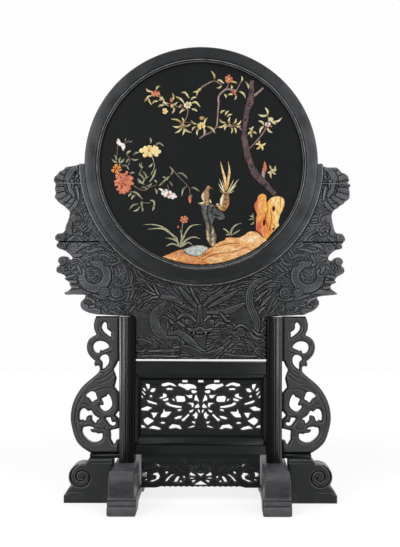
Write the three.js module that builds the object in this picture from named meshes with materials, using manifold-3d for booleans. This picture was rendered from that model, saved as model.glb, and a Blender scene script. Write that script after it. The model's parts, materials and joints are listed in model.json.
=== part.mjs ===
// Round hardstone-inlaid table screen of dark hardwood: an inlaid disc in a plain ring, seated in the
// crescent of a carved cradle board, whose tongue slides between the two posts of a cross-footed stand.
// Millimetres, +Z up, +X to the right, the front faces -Y. The origin is on the floor, under the middle.
import * as THREE from 'three';
import { mergeVertices } from 'three/addons/utils/BufferGeometryUtils.js';
import Module from 'manifold-3d';

const wasm = await Module();
wasm.setup();

// Clearances
const GLUE_GAP = 0.2;
const JOINT_GAP = 0.3;
const SLIDE_GAP = 0.5;

// Disc
const DISC_RADIUS = 233;
const DISC_CENTRE_Z = 676;
const DISC_DEPTH = 38;
const RING_WIDTH = 22.5;
const BEAD_WIDTH = 7;
const BEAD_SET_BACK = 3;
const BEAD_DEPTH = 8;
const BEAD_ROUND = 1.8;
const BEAD_DIP = 1.2;
const GROUND_THICKNESS = 8;
const BACK_PANEL_THICKNESS = 5;
const BACK_PANEL_SET_IN = 4;
const EDGE_ROUND = 3;
const RIB_HEIGHT = 6;
const RIB_THICKNESS = 10;
const RIB_STOP = 20;
const INLAY_HEIGHT = 4;
const STEM_HEIGHT = 2.6;

// Cradle
const CRADLE_DEPTH = 40;
const RELIEF_DEPTH = 8;
const LOW_RELIEF = 5.5;
const RELIEF_CHAMFER = 1.5;
const LIP_WIDTH = 7;
const BOSS_SIDES = 8;
const LOWER_JOINT_Z = 520;
const UPPER_JOINT_Z = 639;
const SHOULDER_Z = 370;
const TONGUE_FLOAT = 5;
const EDGE_TENON_THICKNESS = 12;
const EDGE_TENON_WIDTH = 7;

// Stand
const POST_CENTRE_X = 147;
const POST_WIDTH = 30;
const POST_DEPTH = 50;
const REED_RADIUS = 5;
const REED_SPACING = 12;
const POST_TENON = 40;
const POST_TENON_SHOULDER = 4;
const POST_TENON_SET_IN = 6;
const RAIL_DEPTH = 40;
const UPPER_RAIL_TOP_Z = 280;
const UPPER_RAIL_HEIGHT = 24;
const LOWER_RAIL_TOP_Z = 114;
const LOWER_RAIL_HEIGHT = 18;
const RAIL_TENON = 12;
const RAIL_TENON_DEPTH = 16;
const RAIL_SHOULDER = 3;
const FRAME_DEPTH = 22;
const FRAME_STILE = 12;
const FRAME_HEAD = 14;
const FRAME_SILL = 20;
const FRAME_BEVEL = 7;
const PANEL_THICKNESS = 9;
const PANEL_TUCK = 4;
const APRON_BOTTOM_Z = 27;
const APRON_THICKNESS = 14;
const FIELD_RISE = 4;
const SQUARE_WIDTH = 10;
const SQUARE_HEIGHT = 6;
const SQUARE_SPACING = 32;
const SQUARE_RISE = 49;
const LOBE_COUNT = 14;
const LOBED_HALF = 78;
const LOBE_RISE = 3;
const LOBE_MARGIN = 12;

// Feet
const SHOE_WIDTH = 55;
const SHOE_LENGTH = 310;
const SHOE_SADDLE_Z = 80;
const SHOE_ROLL_Z = 82;
const SHOE_PAD_LENGTH = 66;
const ARCH_SLOPE = 20;
const ARCH_RISE = 12;
const SCROLL_FOOT_HEIGHT = 88;
const SCROLL_FOOT_DEPTH = 58;
const SCROLL_FOOT_REACH = 272;
const VOLUTE_RADIUS = 26;
const VOLUTE_RISE = 52;
const FOOT_TOP_SET_IN = 51;
const BRACKET_DEPTH = 24;
const BRACKET_RISE = 1;
const PLINTH_HEIGHT = 8;
const PLINTH_DEPTH = 34;

// Worked out from the values above
const groundRadius = DISC_RADIUS - RING_WIDTH;
const sightRadius = groundRadius - BEAD_WIDTH;
const discFront = -DISC_DEPTH / 2;
const beadFront = discFront + BEAD_SET_BACK;
const groundFront = beadFront + BEAD_DEPTH + GLUE_GAP;
const crescentRadius = DISC_RADIUS + SLIDE_GAP;
const boardFront = -CRADLE_DEPTH / 2;
const postInner = POST_CENTRE_X - POST_WIDTH / 2;
const postOuter = POST_CENTRE_X + POST_WIDTH / 2;
const shoeInner = POST_CENTRE_X - SHOE_WIDTH / 2;
const shoeOuter = POST_CENTRE_X + SHOE_WIDTH / 2;
const upperRailBottom = UPPER_RAIL_TOP_Z - UPPER_RAIL_HEIGHT;
const lowerRailBottom = LOWER_RAIL_TOP_Z - LOWER_RAIL_HEIGHT;
const tongueBottom = UPPER_RAIL_TOP_Z + TONGUE_FLOAT;
const reach = DISC_RADIUS * 2;

// Colours
const WOOD = { color: 0x2a2726, roughness: 0.5, metalness: 0 };
const GROUND = { color: 0x121212, roughness: 0.45, metalness: 0 };
const RED_STONE = { color: 0xa14a2a, roughness: 0.4, metalness: 0 };
const AMBER_STONE = { color: 0xd68f3c, roughness: 0.4, metalness: 0 };
const CREAM_STONE = { color: 0xcfc08a, roughness: 0.4, metalness: 0 };
const GREEN_STONE = { color: 0x7c8058, roughness: 0.4, metalness: 0 };
const BROWN_STONE = { color: 0x5c3328, roughness: 0.45, metalness: 0 };
const BLUE_STONE = { color: 0x8d9c98, roughness: 0.45, metalness: 0 };
const WHITE_STONE = { color: 0xe2dcd0, roughness: 0.4, metalness: 0 };

const screen = new THREE.Group();
screen.name = 'inlaid_disc_screen';

function addNode(name, geometry, look) {
  const mesh = new THREE.Mesh(geometry, new THREE.MeshStandardMaterial(look));
  mesh.name = name;
  screen.add(mesh);
  return mesh;
}

// Solids for cutting and joining

function toSolid(geometry) {
  const bare = geometry.clone();
  bare.deleteAttribute('normal');
  bare.deleteAttribute('uv');
  const merged = mergeVertices(bare, 1e-4);
  const vertProperties = new Float32Array(merged.attributes.position.array);
  const triVerts = new Uint32Array(merged.index.array);
  if (signedVolume(vertProperties, triVerts) < 0) triVerts.reverse();
  return new wasm.Manifold(new wasm.Mesh({ numProp: 3, vertProperties, triVerts }));
}

function signedVolume(places, corners) {
  let sum = 0;
  const [a, b, c] = [new THREE.Vector3(), new THREE.Vector3(), new THREE.Vector3()];
  for (let i = 0; i < corners.length; i += 3) {
    a.fromArray(places, corners[i] * 3);
    b.fromArray(places, corners[i + 1] * 3);
    c.fromArray(places, corners[i + 2] * 3);
    sum += a.dot(b.cross(c));
  }
  return sum / 6;
}

function toGeometry(solid) {
  const mesh = solid.getMesh();
  const geometry = new THREE.BufferGeometry();
  geometry.setAttribute('position', new THREE.BufferAttribute(mesh.vertProperties, 3));
  geometry.setIndex(new THREE.BufferAttribute(mesh.triVerts, 1));
  geometry.computeVertexNormals();
  return geometry;
}

function joined(solids) {
  return solids.reduce((sum, solid) => sum.add(solid));
}

// Boxes and extrusions

function box(x0, x1, y0, y1, z0, z1) {
  const geometry = new THREE.BoxGeometry(x1 - x0, y1 - y0, z1 - z0);
  geometry.translate((x0 + x1) / 2, (y0 + y1) / 2, (z0 + z1) / 2);
  return toSolid(geometry);
}

// An outline of [x, z] points, extruded from y0 (front) to y1 (back).
function slab(points, y0, y1) {
  const shape = new THREE.Shape(points.map(([x, z]) => new THREE.Vector2(x, z)));
  const geometry = new THREE.ExtrudeGeometry(shape, { depth: y1 - y0, bevelEnabled: false });
  geometry.rotateX(Math.PI / 2);
  geometry.translate(0, y1, 0);
  return toSolid(geometry);
}

// An outline of [y, z] points, extruded from x0 to x1.
function sideSlab(points, x0, x1) {
  const shape = new THREE.Shape(points.map(([y, z]) => new THREE.Vector2(y, z)));
  const geometry = new THREE.ExtrudeGeometry(shape, { depth: x1 - x0, bevelEnabled: false });
  geometry.rotateX(Math.PI / 2);
  geometry.rotateZ(Math.PI / 2);
  geometry.translate(x0, 0, 0);
  return toSolid(geometry);
}

function smooth(points, perSpan = 3, closed = true) {
  const knots = points.map(([x, z]) => new THREE.Vector3(x, z, 0));
  const curve = new THREE.CatmullRomCurve3(knots, closed, 'centripetal');
  const count = (closed ? points.length : points.length - 1) * perSpan;
  const ring = curve.getPoints(count).map((p) => [p.x, p.y]);
  if (closed) ring.pop();
  return ring;
}

function mirrored(points) {
  return points.map(([x, z]) => [-x, z]).reverse();
}

function arc(cx, cz, radius, from, to, steps) {
  const points = [];
  for (let i = 0; i <= steps; i += 1) {
    const angle = THREE.MathUtils.degToRad(from + ((to - from) * i) / steps);
    points.push([cx + radius * Math.cos(angle), cz + radius * Math.sin(angle)]);
  }
  return points;
}

// A ring about the disc's axis from a closed profile of [radius, y] points.
function turned(profile, segments = 96) {
  const points = profile.map(([r, y]) => new THREE.Vector2(r, y));
  points.push(points[0].clone());
  const geometry = new THREE.LatheGeometry(points, segments);
  const solid = toSolid(geometry);
  const placed = solid.translate([0, 0, DISC_CENTRE_Z]);
  return placed;
}

// Disc: four arc segments of the ring; a rib round its lower half sits in the crescent's groove

const ringSection = turned([
  [groundRadius, discFront],
  [DISC_RADIUS - EDGE_ROUND, discFront],
  [DISC_RADIUS, discFront + EDGE_ROUND],
  [DISC_RADIUS, -discFront - EDGE_ROUND],
  [DISC_RADIUS - EDGE_ROUND, -discFront],
  [groundRadius, -discFront],
]);
const rib = turned([
  [DISC_RADIUS - RIB_HEIGHT, -RIB_THICKNESS / 2],
  [DISC_RADIUS + RIB_HEIGHT, -RIB_THICKNESS / 2],
  [DISC_RADIUS + RIB_HEIGHT, RIB_THICKNESS / 2],
  [DISC_RADIUS - RIB_HEIGHT, RIB_THICKNESS / 2],
]).intersect(box(-reach, reach, -reach, reach, 0, DISC_CENTRE_Z - RIB_STOP));
const ringSolid = ringSection.add(rib);
const segmentNames = ['ring_segment_right', 'ring_segment_top', 'ring_segment_left', 'ring_segment_bottom'];
segmentNames.forEach((name, quarter) => {
  const turn = 90 * quarter;
  const edge = THREE.MathUtils.degToRad(45);
  const setBack = JOINT_GAP / 2 / Math.sin(edge);
  const wedge = slab([[setBack, 0], [reach, -reach + setBack], [reach, reach - setBack]], -reach, reach);
  const placed = wedge.rotate([0, -turn, 0]).translate([0, 0, DISC_CENTRE_Z]);
  addNode(name, toGeometry(ringSolid.intersect(placed)), WOOD);
});

const beadOuter = groundRadius - GLUE_GAP;
const beadMid = (sightRadius + beadOuter) / 2;
addNode('sight_bead', toGeometry(turned([
  [sightRadius, beadFront + BEAD_ROUND],
  [sightRadius + BEAD_ROUND, beadFront],
  [beadMid, beadFront + BEAD_DIP],
  [beadOuter - BEAD_ROUND, beadFront],
  [beadOuter, beadFront + BEAD_ROUND],
  [beadOuter, beadFront + BEAD_DEPTH],
  [sightRadius, beadFront + BEAD_DEPTH],
])), WOOD);

const groundBack = groundFront + GROUND_THICKNESS;
addNode('ground_panel', toGeometry(turned([
  [0, groundFront],
  [beadOuter, groundFront],
  [beadOuter, groundBack],
  [0, groundBack],
], 72)), GROUND);
const backPanelBack = -discFront - BACK_PANEL_SET_IN;
addNode('back_panel', toGeometry(turned([
  [0, backPanelBack - BACK_PANEL_THICKNESS],
  [beadOuter, backPanelBack - BACK_PANEL_THICKNESS],
  [beadOuter, backPanelBack],
  [0, backPanelBack],
], 72)), WOOD);

// Inlays: flat stone pieces glued to the ground panel. Places are [right, up] from the disc's centre. The
// picture is scaled so that its farthest point, on the ground rock, reaches the edge of the sight.

const groundRockOutline = [
  [-77, -185], [-52, -178], [-20, -181], [12, -170], [31, -159], [60, -160], [88, -152], [124, -144],
  [150, -137], [142, -144], [118, -163], [84, -182], [44, -196], [-6, -200], [-46, -195],
];
const drawnReach = Math.max(...groundRockOutline.map(([x, z]) => Math.hypot(x, z)));
const fitted = (sightRadius - JOINT_GAP) / drawnReach;
const inlaid = [];
const field = turned([
  [0, discFront * 2],
  [sightRadius - JOINT_GAP, discFront * 2],
  [sightRadius - JOINT_GAP, groundFront],
  [0, groundFront],
]);

function along(points, widthStart, widthEnd, grow, perSpan = 3) {
  const line = smooth(points, perSpan, false);
  const left = [];
  const right = [];
  line.forEach(([x, z], i) => {
    const [ax, az] = line[Math.max(i - 1, 0)];
    const [bx, bz] = line[Math.min(i + 1, line.length - 1)];
    const long = Math.hypot(bx - ax, bz - az);
    const half = (widthStart + ((widthEnd - widthStart) * i) / (line.length - 1)) / 2 + grow;
    const [nx, nz] = [(-(bz - az) / long) * half, ((bx - ax) / long) * half];
    left.push([x + nx, z + nz]);
    right.unshift([x - nx, z - nz]);
  });
  return [...left, ...right];
}

function round(cx, cz, rx, rz, tilt, grow, lobes = 0, steps = 12) {
  const points = [];
  const lean = THREE.MathUtils.degToRad(tilt);
  for (let i = 0; i < steps; i += 1) {
    const angle = (2 * Math.PI * i) / steps;
    const wave = lobes ? 0.9 + 0.1 * Math.cos(lobes * angle) : 1;
    const [a, b] = [(rx * wave + grow) * Math.cos(angle), (rz * wave + grow) * Math.sin(angle)];
    points.push([cx + a * Math.cos(lean) - b * Math.sin(lean), cz + a * Math.sin(lean) + b * Math.cos(lean)]);
  }
  return points;
}

function grown(points, grow) {
  if (!grow) return points;
  const middleX = points.reduce((sum, [x]) => sum + x, 0) / points.length;
  const middleZ = points.reduce((sum, [, z]) => sum + z, 0) / points.length;
  return points.map(([x, z]) => {
    const long = Math.hypot(x - middleX, z - middleZ);
    const scale = (long + grow) / long;
    return [middleX + (x - middleX) * scale, middleZ + (z - middleZ) * scale];
  });
}

const stem = (points, widthStart, widthEnd) => (grow) => along(points, widthStart, widthEnd, grow);
const leaf = (x, z, length, width, tilt) => (grow) => round(x, z, length / 2, width / 2, tilt, grow, 0, 8);
const bloom = (x, z, rx, rz, tilt, lobes) => (grow) => round(x, z, rx, rz, tilt, grow, lobes, lobes * 3);
const stone = (points) => (grow) => grown(smooth(points, 2), grow);

function addInlay(name, look, height, pieces) {
  const back = groundFront - GLUE_GAP;
  const lift = ([x, z]) => [x * fitted, z * fitted + DISC_CENTRE_Z];
  const build = (grow, y0) => joined(pieces.map((piece) => slab(piece(grow).map(lift), y0, back)));
  let solid = build(0, back - height).intersect(field);
  inlaid.forEach((other) => {
    solid = solid.subtract(other);
  });
  const parts = solid.decompose().sort((a, b) => b.volume() - a.volume());
  inlaid.push(build(JOINT_GAP, back - INLAY_HEIGHT * 2));
  addNode(name, toGeometry(parts[0]), look);
}

addInlay('scholar_rock', AMBER_STONE, INLAY_HEIGHT, [
  stone([[108, -128], [107, -104], [114, -84], [112, -66], [122, -60], [131, -70], [142, -61], [154, -60],
    [162, -72], [158, -92], [166, -112], [160, -126], [134, -133]]),
]);
addInlay('tree_trunk', BROWN_STONE, INLAY_HEIGHT, [
  stem([[152, -58], [129, -39], [103, -14], [91, 25], [87, 55], [91, 93], [98, 132], [102, 176]], 13, 4),
  stem([[97, 126], [108, 139], [124, 152]], 5, 3),
  stem([[91, 27], [110, 50], [128, 73]], 6, 3),
  stem([[127, -38], [130, -16], [127, 4]], 7, 5),
]);
addInlay('ground_rock', AMBER_STONE, INLAY_HEIGHT, [stone(groundRockOutline)]);
addInlay('blue_stone', BLUE_STONE, INLAY_HEIGHT, [
  stone([[-26, -171], [-14, -164], [0, -162], [12, -164], [10, -168], [-6, -178]]),
]);
addInlay('pillar_rock', GREEN_STONE, INLAY_HEIGHT, [
  stone([[0, -80], [24, -80], [26, -98], [46, -102], [44, -108], [28, -112], [31, -134], [29, -150],
    [14, -158], [9, -134], [-2, -116]]),
]);
addInlay('perched_bird', BROWN_STONE, INLAY_HEIGHT, [
  bloom(10, -61, 8, 15, -20, 6),
  stem([[6, -66], [0, -72], [-6, -78]], 6, 3),
  leaf(15, -46, 10, 8, 20),
]);
addInlay('long_tailed_bird', CREAM_STONE, INLAY_HEIGHT, [
  bloom(46, -79, 8, 18, 10, 6),
  stem([[48, -68], [46, -34], [39, 4]], 5, 3),
  stem([[48, -68], [53, -34], [56, 4]], 5, 3),
  stem([[50, -66], [62, -52], [72, -34]], 4, 2.5),
  stem([[45, -66], [40, -48], [34, -30]], 4, 2.5),
]);
addInlay('upper_branch', GREEN_STONE, STEM_HEIGHT, [
  stem([[88, 118], [66, 138], [44, 147], [34, 124], [31, 98], [30, 73]], 4, 3),
  stem([[44, 146], [50, 160], [56, 172]], 3, 2.5),
  bloom(56, 171, 9, 8, 0, 5),
  leaf(39, 157, 22, 9, 120),
  leaf(64, 147, 18, 8, 60),
  leaf(43, 130, 22, 9, -50),
  leaf(56, 84, 24, 9, 20),
  stem([[31, 78], [46, 76], [56, 84]], 3, 2.5),
  leaf(27, 64, 20, 8, 70),
  leaf(25, 90, 20, 8, 140),
]);
addInlay('blossom_branch', GREEN_STONE, STEM_HEIGHT, [
  stem([[22, 166], [-9, 147], [-26, 121], [-65, 124], [-92, 142]], 3.5, 2.5),
  stem([[-26, 121], [-34, 100], [-34, 80]], 3, 2.5),
  stem([[-30, 110], [-12, 96], [0, 78]], 3, 2.5),
  bloom(-94, 142, 10, 9, 0, 5),
  bloom(0, 78, 11, 9, 0, 5),
  leaf(-66, 112, 22, 8, 60),
  leaf(-74, 128, 20, 8, 10),
  leaf(-48, 128, 22, 8, 40),
  leaf(-20, 112, 20, 8, -40),
  leaf(-14, 132, 20, 8, 20),
  leaf(-38, 76, 24, 9, 50),
  leaf(6, 162, 22, 8, -30),
]);
addInlay('cream_leaf_spray', CREAM_STONE, STEM_HEIGHT, [
  stem([[130, 76], [136, 88], [140, 102]], 3, 2.5),
  leaf(146, 92, 22, 9, 30),
  leaf(128, 92, 22, 9, 140),
  leaf(140, 104, 20, 8, 80),
]);
addInlay('yellow_star_flower', AMBER_STONE, STEM_HEIGHT, [bloom(119, 38, 10, 9, 0, 5)]);
addInlay('green_star_flower', GREEN_STONE, STEM_HEIGHT, [bloom(106, 64, 8, 7, 0, 5)]);
addInlay('orchid_clump', GREEN_STONE, STEM_HEIGHT, [
  leaf(-42, -166, 16, 8, 0),
  stem([[-42, -168], [-58, -140], [-84, -124], [-118, -122]], 4, 2),
  stem([[-42, -168], [-60, -150], [-90, -146]], 4, 2),
  stem([[-42, -168], [-42, -140], [-34, -112]], 4, 2.5),
  stem([[-40, -168], [-26, -142], [1, -122]], 4, 2),
  stem([[-40, -168], [-24, -152], [-8, -146]], 4, 2),
  bloom(-34, -110, 8, 7, 0, 5),
]);
addInlay('grass_tuft', GREEN_STONE, STEM_HEIGHT, [
  leaf(64, -152, 14, 8, 0),
  stem([[64, -153], [56, -140], [50, -128]], 3.5, 2),
  stem([[64, -153], [66, -138], [64, -124]], 3.5, 2),
  stem([[64, -153], [74, -140], [84, -132]], 3.5, 2),
]);
addInlay('red_peony', RED_STONE, INLAY_HEIGHT, [
  bloom(-154.5, -38, 20, 23, 0, 7),
  bloom(-166, -15, 10, 9, 0, 5),
]);
addInlay('yellow_peony', AMBER_STONE, INLAY_HEIGHT, [bloom(-102, 26, 21, 12, 0, 7)]);
addInlay('white_peony', WHITE_STONE, INLAY_HEIGHT, [bloom(-65, -61, 18, 9, -20, 7)]);
addInlay('pink_bud', WHITE_STONE, INLAY_HEIGHT, [bloom(-163, 40, 8, 10, 0, 5)]);
addInlay('peony_stems', GREEN_STONE, STEM_HEIGHT, [
  stem([[-134, -40], [-120, -10], [-108, 14]], 3.5, 3),
  stem([[-126, -22], [-146, 4], [-158, 30]], 3.5, 2.5),
  stem([[-128, -26], [-104, -34], [-84, -54]], 3.5, 2.5),
  stem([[-112, -31], [-70, -22], [-30, -38], [-20, -58]], 3, 2.5),
  stem([[-34, -36], [-20, -42], [-4, -50]], 2.5, 2.5),
  leaf(-153, 10, 26, 11, 100),
  leaf(-140, 8, 24, 10, 40),
  leaf(-112, -14, 26, 11, 20),
  leaf(-98, -32, 24, 10, -60),
  leaf(-130, -70, 26, 11, 70),
  stem([[-120, -29], [-126, -48], [-130, -66]], 3, 2.5),
  leaf(-60, -24, 24, 10, 10),
]);
addInlay('hanging_bud', RED_STONE, STEM_HEIGHT, [bloom(-21, -68, 6, 9, 0, 5)]);

// Cradle: a thick board of glued planks, cut to the scalloped outline of the carving, its ground cut back by
// RELIEF_DEPTH behind a plain lip round the crescent

const rightWing = [
  [236, 677], [241, 677], [246, 671], [258, 670], [270, 669.5], [276, 666], [280, 660], [286, 658],
  [292, 654], [295, 648], [296, 642], [292, 640], [299, 634], [296, 629], [297, 620], [297, 610],
  [293, 604], [288, 601], [284, 596], [279, 594], [273, 588], [267, 585], [263, 579], [261, 573],
  [262, 564], [264, 552], [268, 541], [274, 538], [281, 537], [286, 532], [288, 526], [285, 519],
  [281, 516], [283, 510], [279, 506], [271, 505], [263, 500], [256, 493], [255, 485], [263, 483],
  [267, 487], [274, 490], [281, 487], [284, 480], [281, 473], [286, 468], [286, 459], [280, 455],
  [272, 450], [268, 444], [271, 439], [263, 436], [259, 431], [262, 425], [270, 420], [273, 416],
  [263, 414], [241, 412], [232, 409], [236, 402], [236, 395], [231, 388], [223, 382], [213, 378],
  [207, 374.5],
];
// The left wing differs a little; its points are [left, up].
const leftWing = [
  [243, 676], [250, 673], [262, 671], [271, 669], [277, 663], [284, 660], [289, 653], [294, 649], [295, 641],
  [291, 636], [293, 628], [291, 619], [293, 610], [289, 603], [283, 597], [274, 591], [268, 585], [263, 580],
  [264, 572], [266, 562], [271, 550], [274, 540], [280, 537], [287, 536], [292, 531], [292, 524], [286, 519],
  [290, 513], [286, 507], [278, 504], [271, 501], [262, 494], [257, 487], [264, 483], [268, 489], [276, 491],
  [284, 488], [286, 480], [282, 474], [289, 468], [288, 459], [280, 456], [271, 450], [273, 445], [264, 440],
  [263, 434], [260, 428], [266, 422], [273, 418], [272, 414], [260, 414], [244, 414], [231, 413], [234, 406],
  [240, 399], [241, 392], [236, 384], [224, 378], [209, 374.5],
];
const tongueHalf = postInner - SLIDE_GAP;
const boardOutline = [
  ...smooth(rightWing, 2, false),
  [tongueHalf, SHOULDER_Z + JOINT_GAP],
  [tongueHalf, tongueBottom],
  [-tongueHalf, tongueBottom],
  [-tongueHalf, SHOULDER_Z + JOINT_GAP],
  ...mirrored(smooth(leftWing, 2, false)),
];
const seat = turned([
  [0, -CRADLE_DEPTH],
  [crescentRadius, -CRADLE_DEPTH],
  [crescentRadius, -RIB_THICKNESS / 2 - SLIDE_GAP],
  [crescentRadius + RIB_HEIGHT, -RIB_THICKNESS / 2 - SLIDE_GAP],
  [crescentRadius + RIB_HEIGHT, RIB_THICKNESS / 2 + SLIDE_GAP],
  [crescentRadius, RIB_THICKNESS / 2 + SLIDE_GAP],
  [crescentRadius, CRADLE_DEPTH],
  [0, CRADLE_DEPTH],
]);

// Main forms of the carving, which stand on the board's sunk ground: dragons, pearls, clouds and water.
// Each is an outline with chamfered edges, raised by its own height.
function raised(points, rise = RELIEF_DEPTH) {
  const shape = new THREE.Shape(points.map(([x, z]) => new THREE.Vector2(x, z)));
  const geometry = new THREE.ExtrudeGeometry(shape, {
    depth: rise,
    bevelThickness: RELIEF_CHAMFER,
    bevelSize: RELIEF_CHAMFER,
    bevelOffset: -RELIEF_CHAMFER,
    bevelSegments: 1,
  });
  geometry.rotateX(Math.PI / 2);
  geometry.translate(0, boardFront + RELIEF_DEPTH + RELIEF_CHAMFER, 0);
  return toSolid(geometry);
}

const ridge = (points, widthStart, widthEnd, rise) => raised(along(points, widthStart, widthEnd, 0, 2), rise);
const boss = (x, z, radius, rise) => raised(round(x, z, radius, radius, 0, 0, 0, BOSS_SIDES), rise);

const loopCentre = [213, 452];
const sideForms = [
  // Head in profile with its fanned mane
  raised([[270, 664], [284, 664], [295, 650], [299, 632], [296, 608], [284, 592], [266, 586], [256, 598],
    [270, 610], [277, 628], [276, 648]]),
  ridge([[245, 668], [258, 662], [266, 646], [264, 628], [254, 612]], 9, 9),
  // Body, pearls and cloud scrolls down to the blade
  ridge([[238, 565], [250, 570], [260, 562], [265, 549], [262, 537]], 10, 11),
  boss(281, 529, 9.5),
  boss(278, 514, 7.5, LOW_RELIEF),
  boss(256, 507, 11, LOW_RELIEF),
  ridge([[206, 518], [220, 516], [236, 512]], 5, 8, LOW_RELIEF),
  ridge([[270, 502], [262, 493], [250, 490], [238, 494]], 6, 7, LOW_RELIEF),
  ridge([[268, 474], [260, 460], [252, 446], [248, 436]], 5, 7),
  boss(278, 482, 9.5),
  boss(281, 464, 8),
  // Coiled body, ruyi cloud heads and the low cloud at the shoulder
  ridge(arc(...loopCentre, 25, 60, 380, 8), 14, 16),
  ridge([[222, 418], [240, 421], [256, 419], [272, 417]], 7, 7),
  boss(194, 420, 10.5),
  boss(168, 418, 11),
  ridge([[238, 398], [234, 389], [222, 384], [205, 382]], 13, 13),
  boss(177, 393, 8, LOW_RELIEF),
  boss(158, 396, 7, LOW_RELIEF),
];
const tongueScrolls = [
  [-116, 320], [-90, 314], [-64, 319], [49, 342], [80, 340], [44, 326], [70, 325], [115, 303], [92, 310],
];
const centreForms = [
  // Two bodies that frame the face
  ridge([[-60, 392], [-78, 388], [-91, 374], [-92, 354], [-82, 338], [-62, 331], [-38, 336]], 16, 13),
  ridge([[130, 447], [108, 436], [98, 418], [97, 398], [103, 380], [111, 362], [111, 343]], 12, 15),
  // Face with brows, nose, eyes and lip on a lower mass
  raised([[-2, 402], [-16, 386], [-38, 376], [-38, 360], [-26, 344], [-14, 326], [2, 308], [12, 326],
    [22, 344], [34, 358], [34, 374], [12, 386]], LOW_RELIEF),
  ridge([[-47, 366], [-36, 374], [-21, 372], [-10, 361]], 6, 6),
  ridge([[42, 364], [31, 373], [16, 371], [6, 361]], 6, 6),
  ridge([[-2, 392], [-2, 376], [-2, 358]], 7, 14),
  ridge([[-26, 347], [-14, 343], [-2, 347], [10, 343], [22, 347]], 6, 6),
  boss(-27, 359, 6),
  boss(22, 358, 6),
  // Mane and horns
  ridge([[-9, 391], [-26, 408], [-44, 431]], 8, 5),
  ridge([[-16, 383], [-34, 392], [-50, 396]], 7, 5),
  ridge([[6, 392], [17, 404], [34, 415], [56, 432]], 8, 5),
  ridge([[16, 390], [36, 401], [56, 412], [73, 424]], 7, 5),
  ridge([[30, 378], [48, 379], [66, 386], [86, 397]], 12, 6),
  // Forearm and talons
  ridge([[-44, 400], [-56, 406], [-72, 410], [-88, 413]], 9, 8),
  ridge([[-84, 412], [-96, 423], [-109, 438]], 5, 4),
  ridge([[-86, 412], [-102, 419], [-115, 426]], 5, 4),
  // Tail, wave and scrolls along the foot of the tongue
  ridge([[-38, 336], [-22, 323], [-4, 306], [12, 297]], 10, 8, LOW_RELIEF),
  ridge([[-62, 305], [-38, 309], [-16, 303], [3, 295], [24, 297], [44, 309]], 8, 9),
  ...tongueScrolls.map(([x, z]) => boss(x, z, 7.5, LOW_RELIEF)),
];
const rightForms = joined(sideForms);
const lip = turned([
  [DISC_RADIUS - 1, boardFront],
  [crescentRadius + LIP_WIDTH, boardFront],
  [crescentRadius + LIP_WIDTH, 0],
  [DISC_RADIUS - 1, 0],
]);
const carving = joined([lip, rightForms, rightForms.mirror([1, 0, 0]), ...centreForms])
  .intersect(slab(boardOutline, boardFront, 0));

const tenonHalf = EDGE_TENON_THICKNESS / 2;
const board = slab(boardOutline, boardFront + RELIEF_DEPTH, -boardFront)
  .add(carving)
  .subtract(seat)
  .add(box(-tongueHalf - EDGE_TENON_WIDTH, tongueHalf + EDGE_TENON_WIDTH, -tenonHalf, tenonHalf, tongueBottom,
    SHOULDER_Z + JOINT_GAP));
const halfGap = JOINT_GAP / 2;
const band = (x0, x1, z0, z1) => toGeometry(board.intersect(box(x0, x1, -reach, reach, z0, z1)));
addNode('cradle_base_board', band(-reach, reach, 0, LOWER_JOINT_Z - halfGap), WOOD);
addNode('cradle_left_wing', band(-reach, 0, LOWER_JOINT_Z + halfGap, UPPER_JOINT_Z - halfGap), WOOD);
addNode('cradle_right_wing', band(0, reach, LOWER_JOINT_Z + halfGap, UPPER_JOINT_Z - halfGap), WOOD);
addNode('cradle_left_tip', band(-reach, 0, UPPER_JOINT_Z + halfGap, reach * 2), WOOD);
addNode('cradle_right_tip', band(0, reach, UPPER_JOINT_Z + halfGap, reach * 2), WOOD);

// Stand

function sided(name, solid, look) {
  addNode(`right_${name}`, toGeometry(solid), look);
  addNode(`left_${name}`, toGeometry(solid.mirror([1, 0, 0])), look);
}

const railY = RAIL_TENON_DEPTH / 2;
const postFront = -POST_DEPTH / 2;
const postTopZ = SHOULDER_Z;

// The slot in a post's inner face that the tongue's edge slides in
function groove() {
  const half = tenonHalf + SLIDE_GAP;
  const depth = EDGE_TENON_WIDTH + SLIDE_GAP;
  return box(postInner - 1, postInner + depth, -half, half, UPPER_RAIL_TOP_Z, postTopZ + 1);
}

function railMortise(bottom, top) {
  const half = railY + JOINT_GAP;
  return box(postInner - 1, postInner + RAIL_TENON + JOINT_GAP, -half, half,
    bottom + RAIL_SHOULDER - JOINT_GAP, top - RAIL_SHOULDER + JOINT_GAP);
}

// The tenon under a post, or with a gap the mortise that it stands in
function postTenon(gap) {
  const x = POST_WIDTH / 2 - POST_TENON_SHOULDER + gap;
  const y = POST_DEPTH / 2 - POST_TENON_SET_IN + gap;
  const foot = SHOE_SADDLE_Z - POST_TENON - gap;
  return box(POST_CENTRE_X - x, POST_CENTRE_X + x, -y, y, foot, SHOE_SADDLE_Z + 1);
}

const postShape = new THREE.Shape([
  [postInner, -postFront], [postInner, postFront],
  ...arc(POST_CENTRE_X - REED_SPACING / 2, postFront, REED_RADIUS, 180, 360, 6),
  ...arc(POST_CENTRE_X + REED_SPACING / 2, postFront, REED_RADIUS, 180, 360, 6),
  [postOuter, postFront], [postOuter, -postFront],
].map(([x, y]) => new THREE.Vector2(x, y)));
const postFoot = SHOE_SADDLE_Z + JOINT_GAP;
const postBody = new THREE.ExtrudeGeometry(postShape, { depth: postTopZ - postFoot, bevelEnabled: false });
postBody.translate(0, 0, postFoot);
const postSolid = toSolid(postBody)
  .add(postTenon(0))
  .subtract(groove())
  .subtract(railMortise(upperRailBottom, UPPER_RAIL_TOP_Z))
  .subtract(railMortise(lowerRailBottom, LOWER_RAIL_TOP_Z));
sided('post', postSolid, WOOD);

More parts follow.
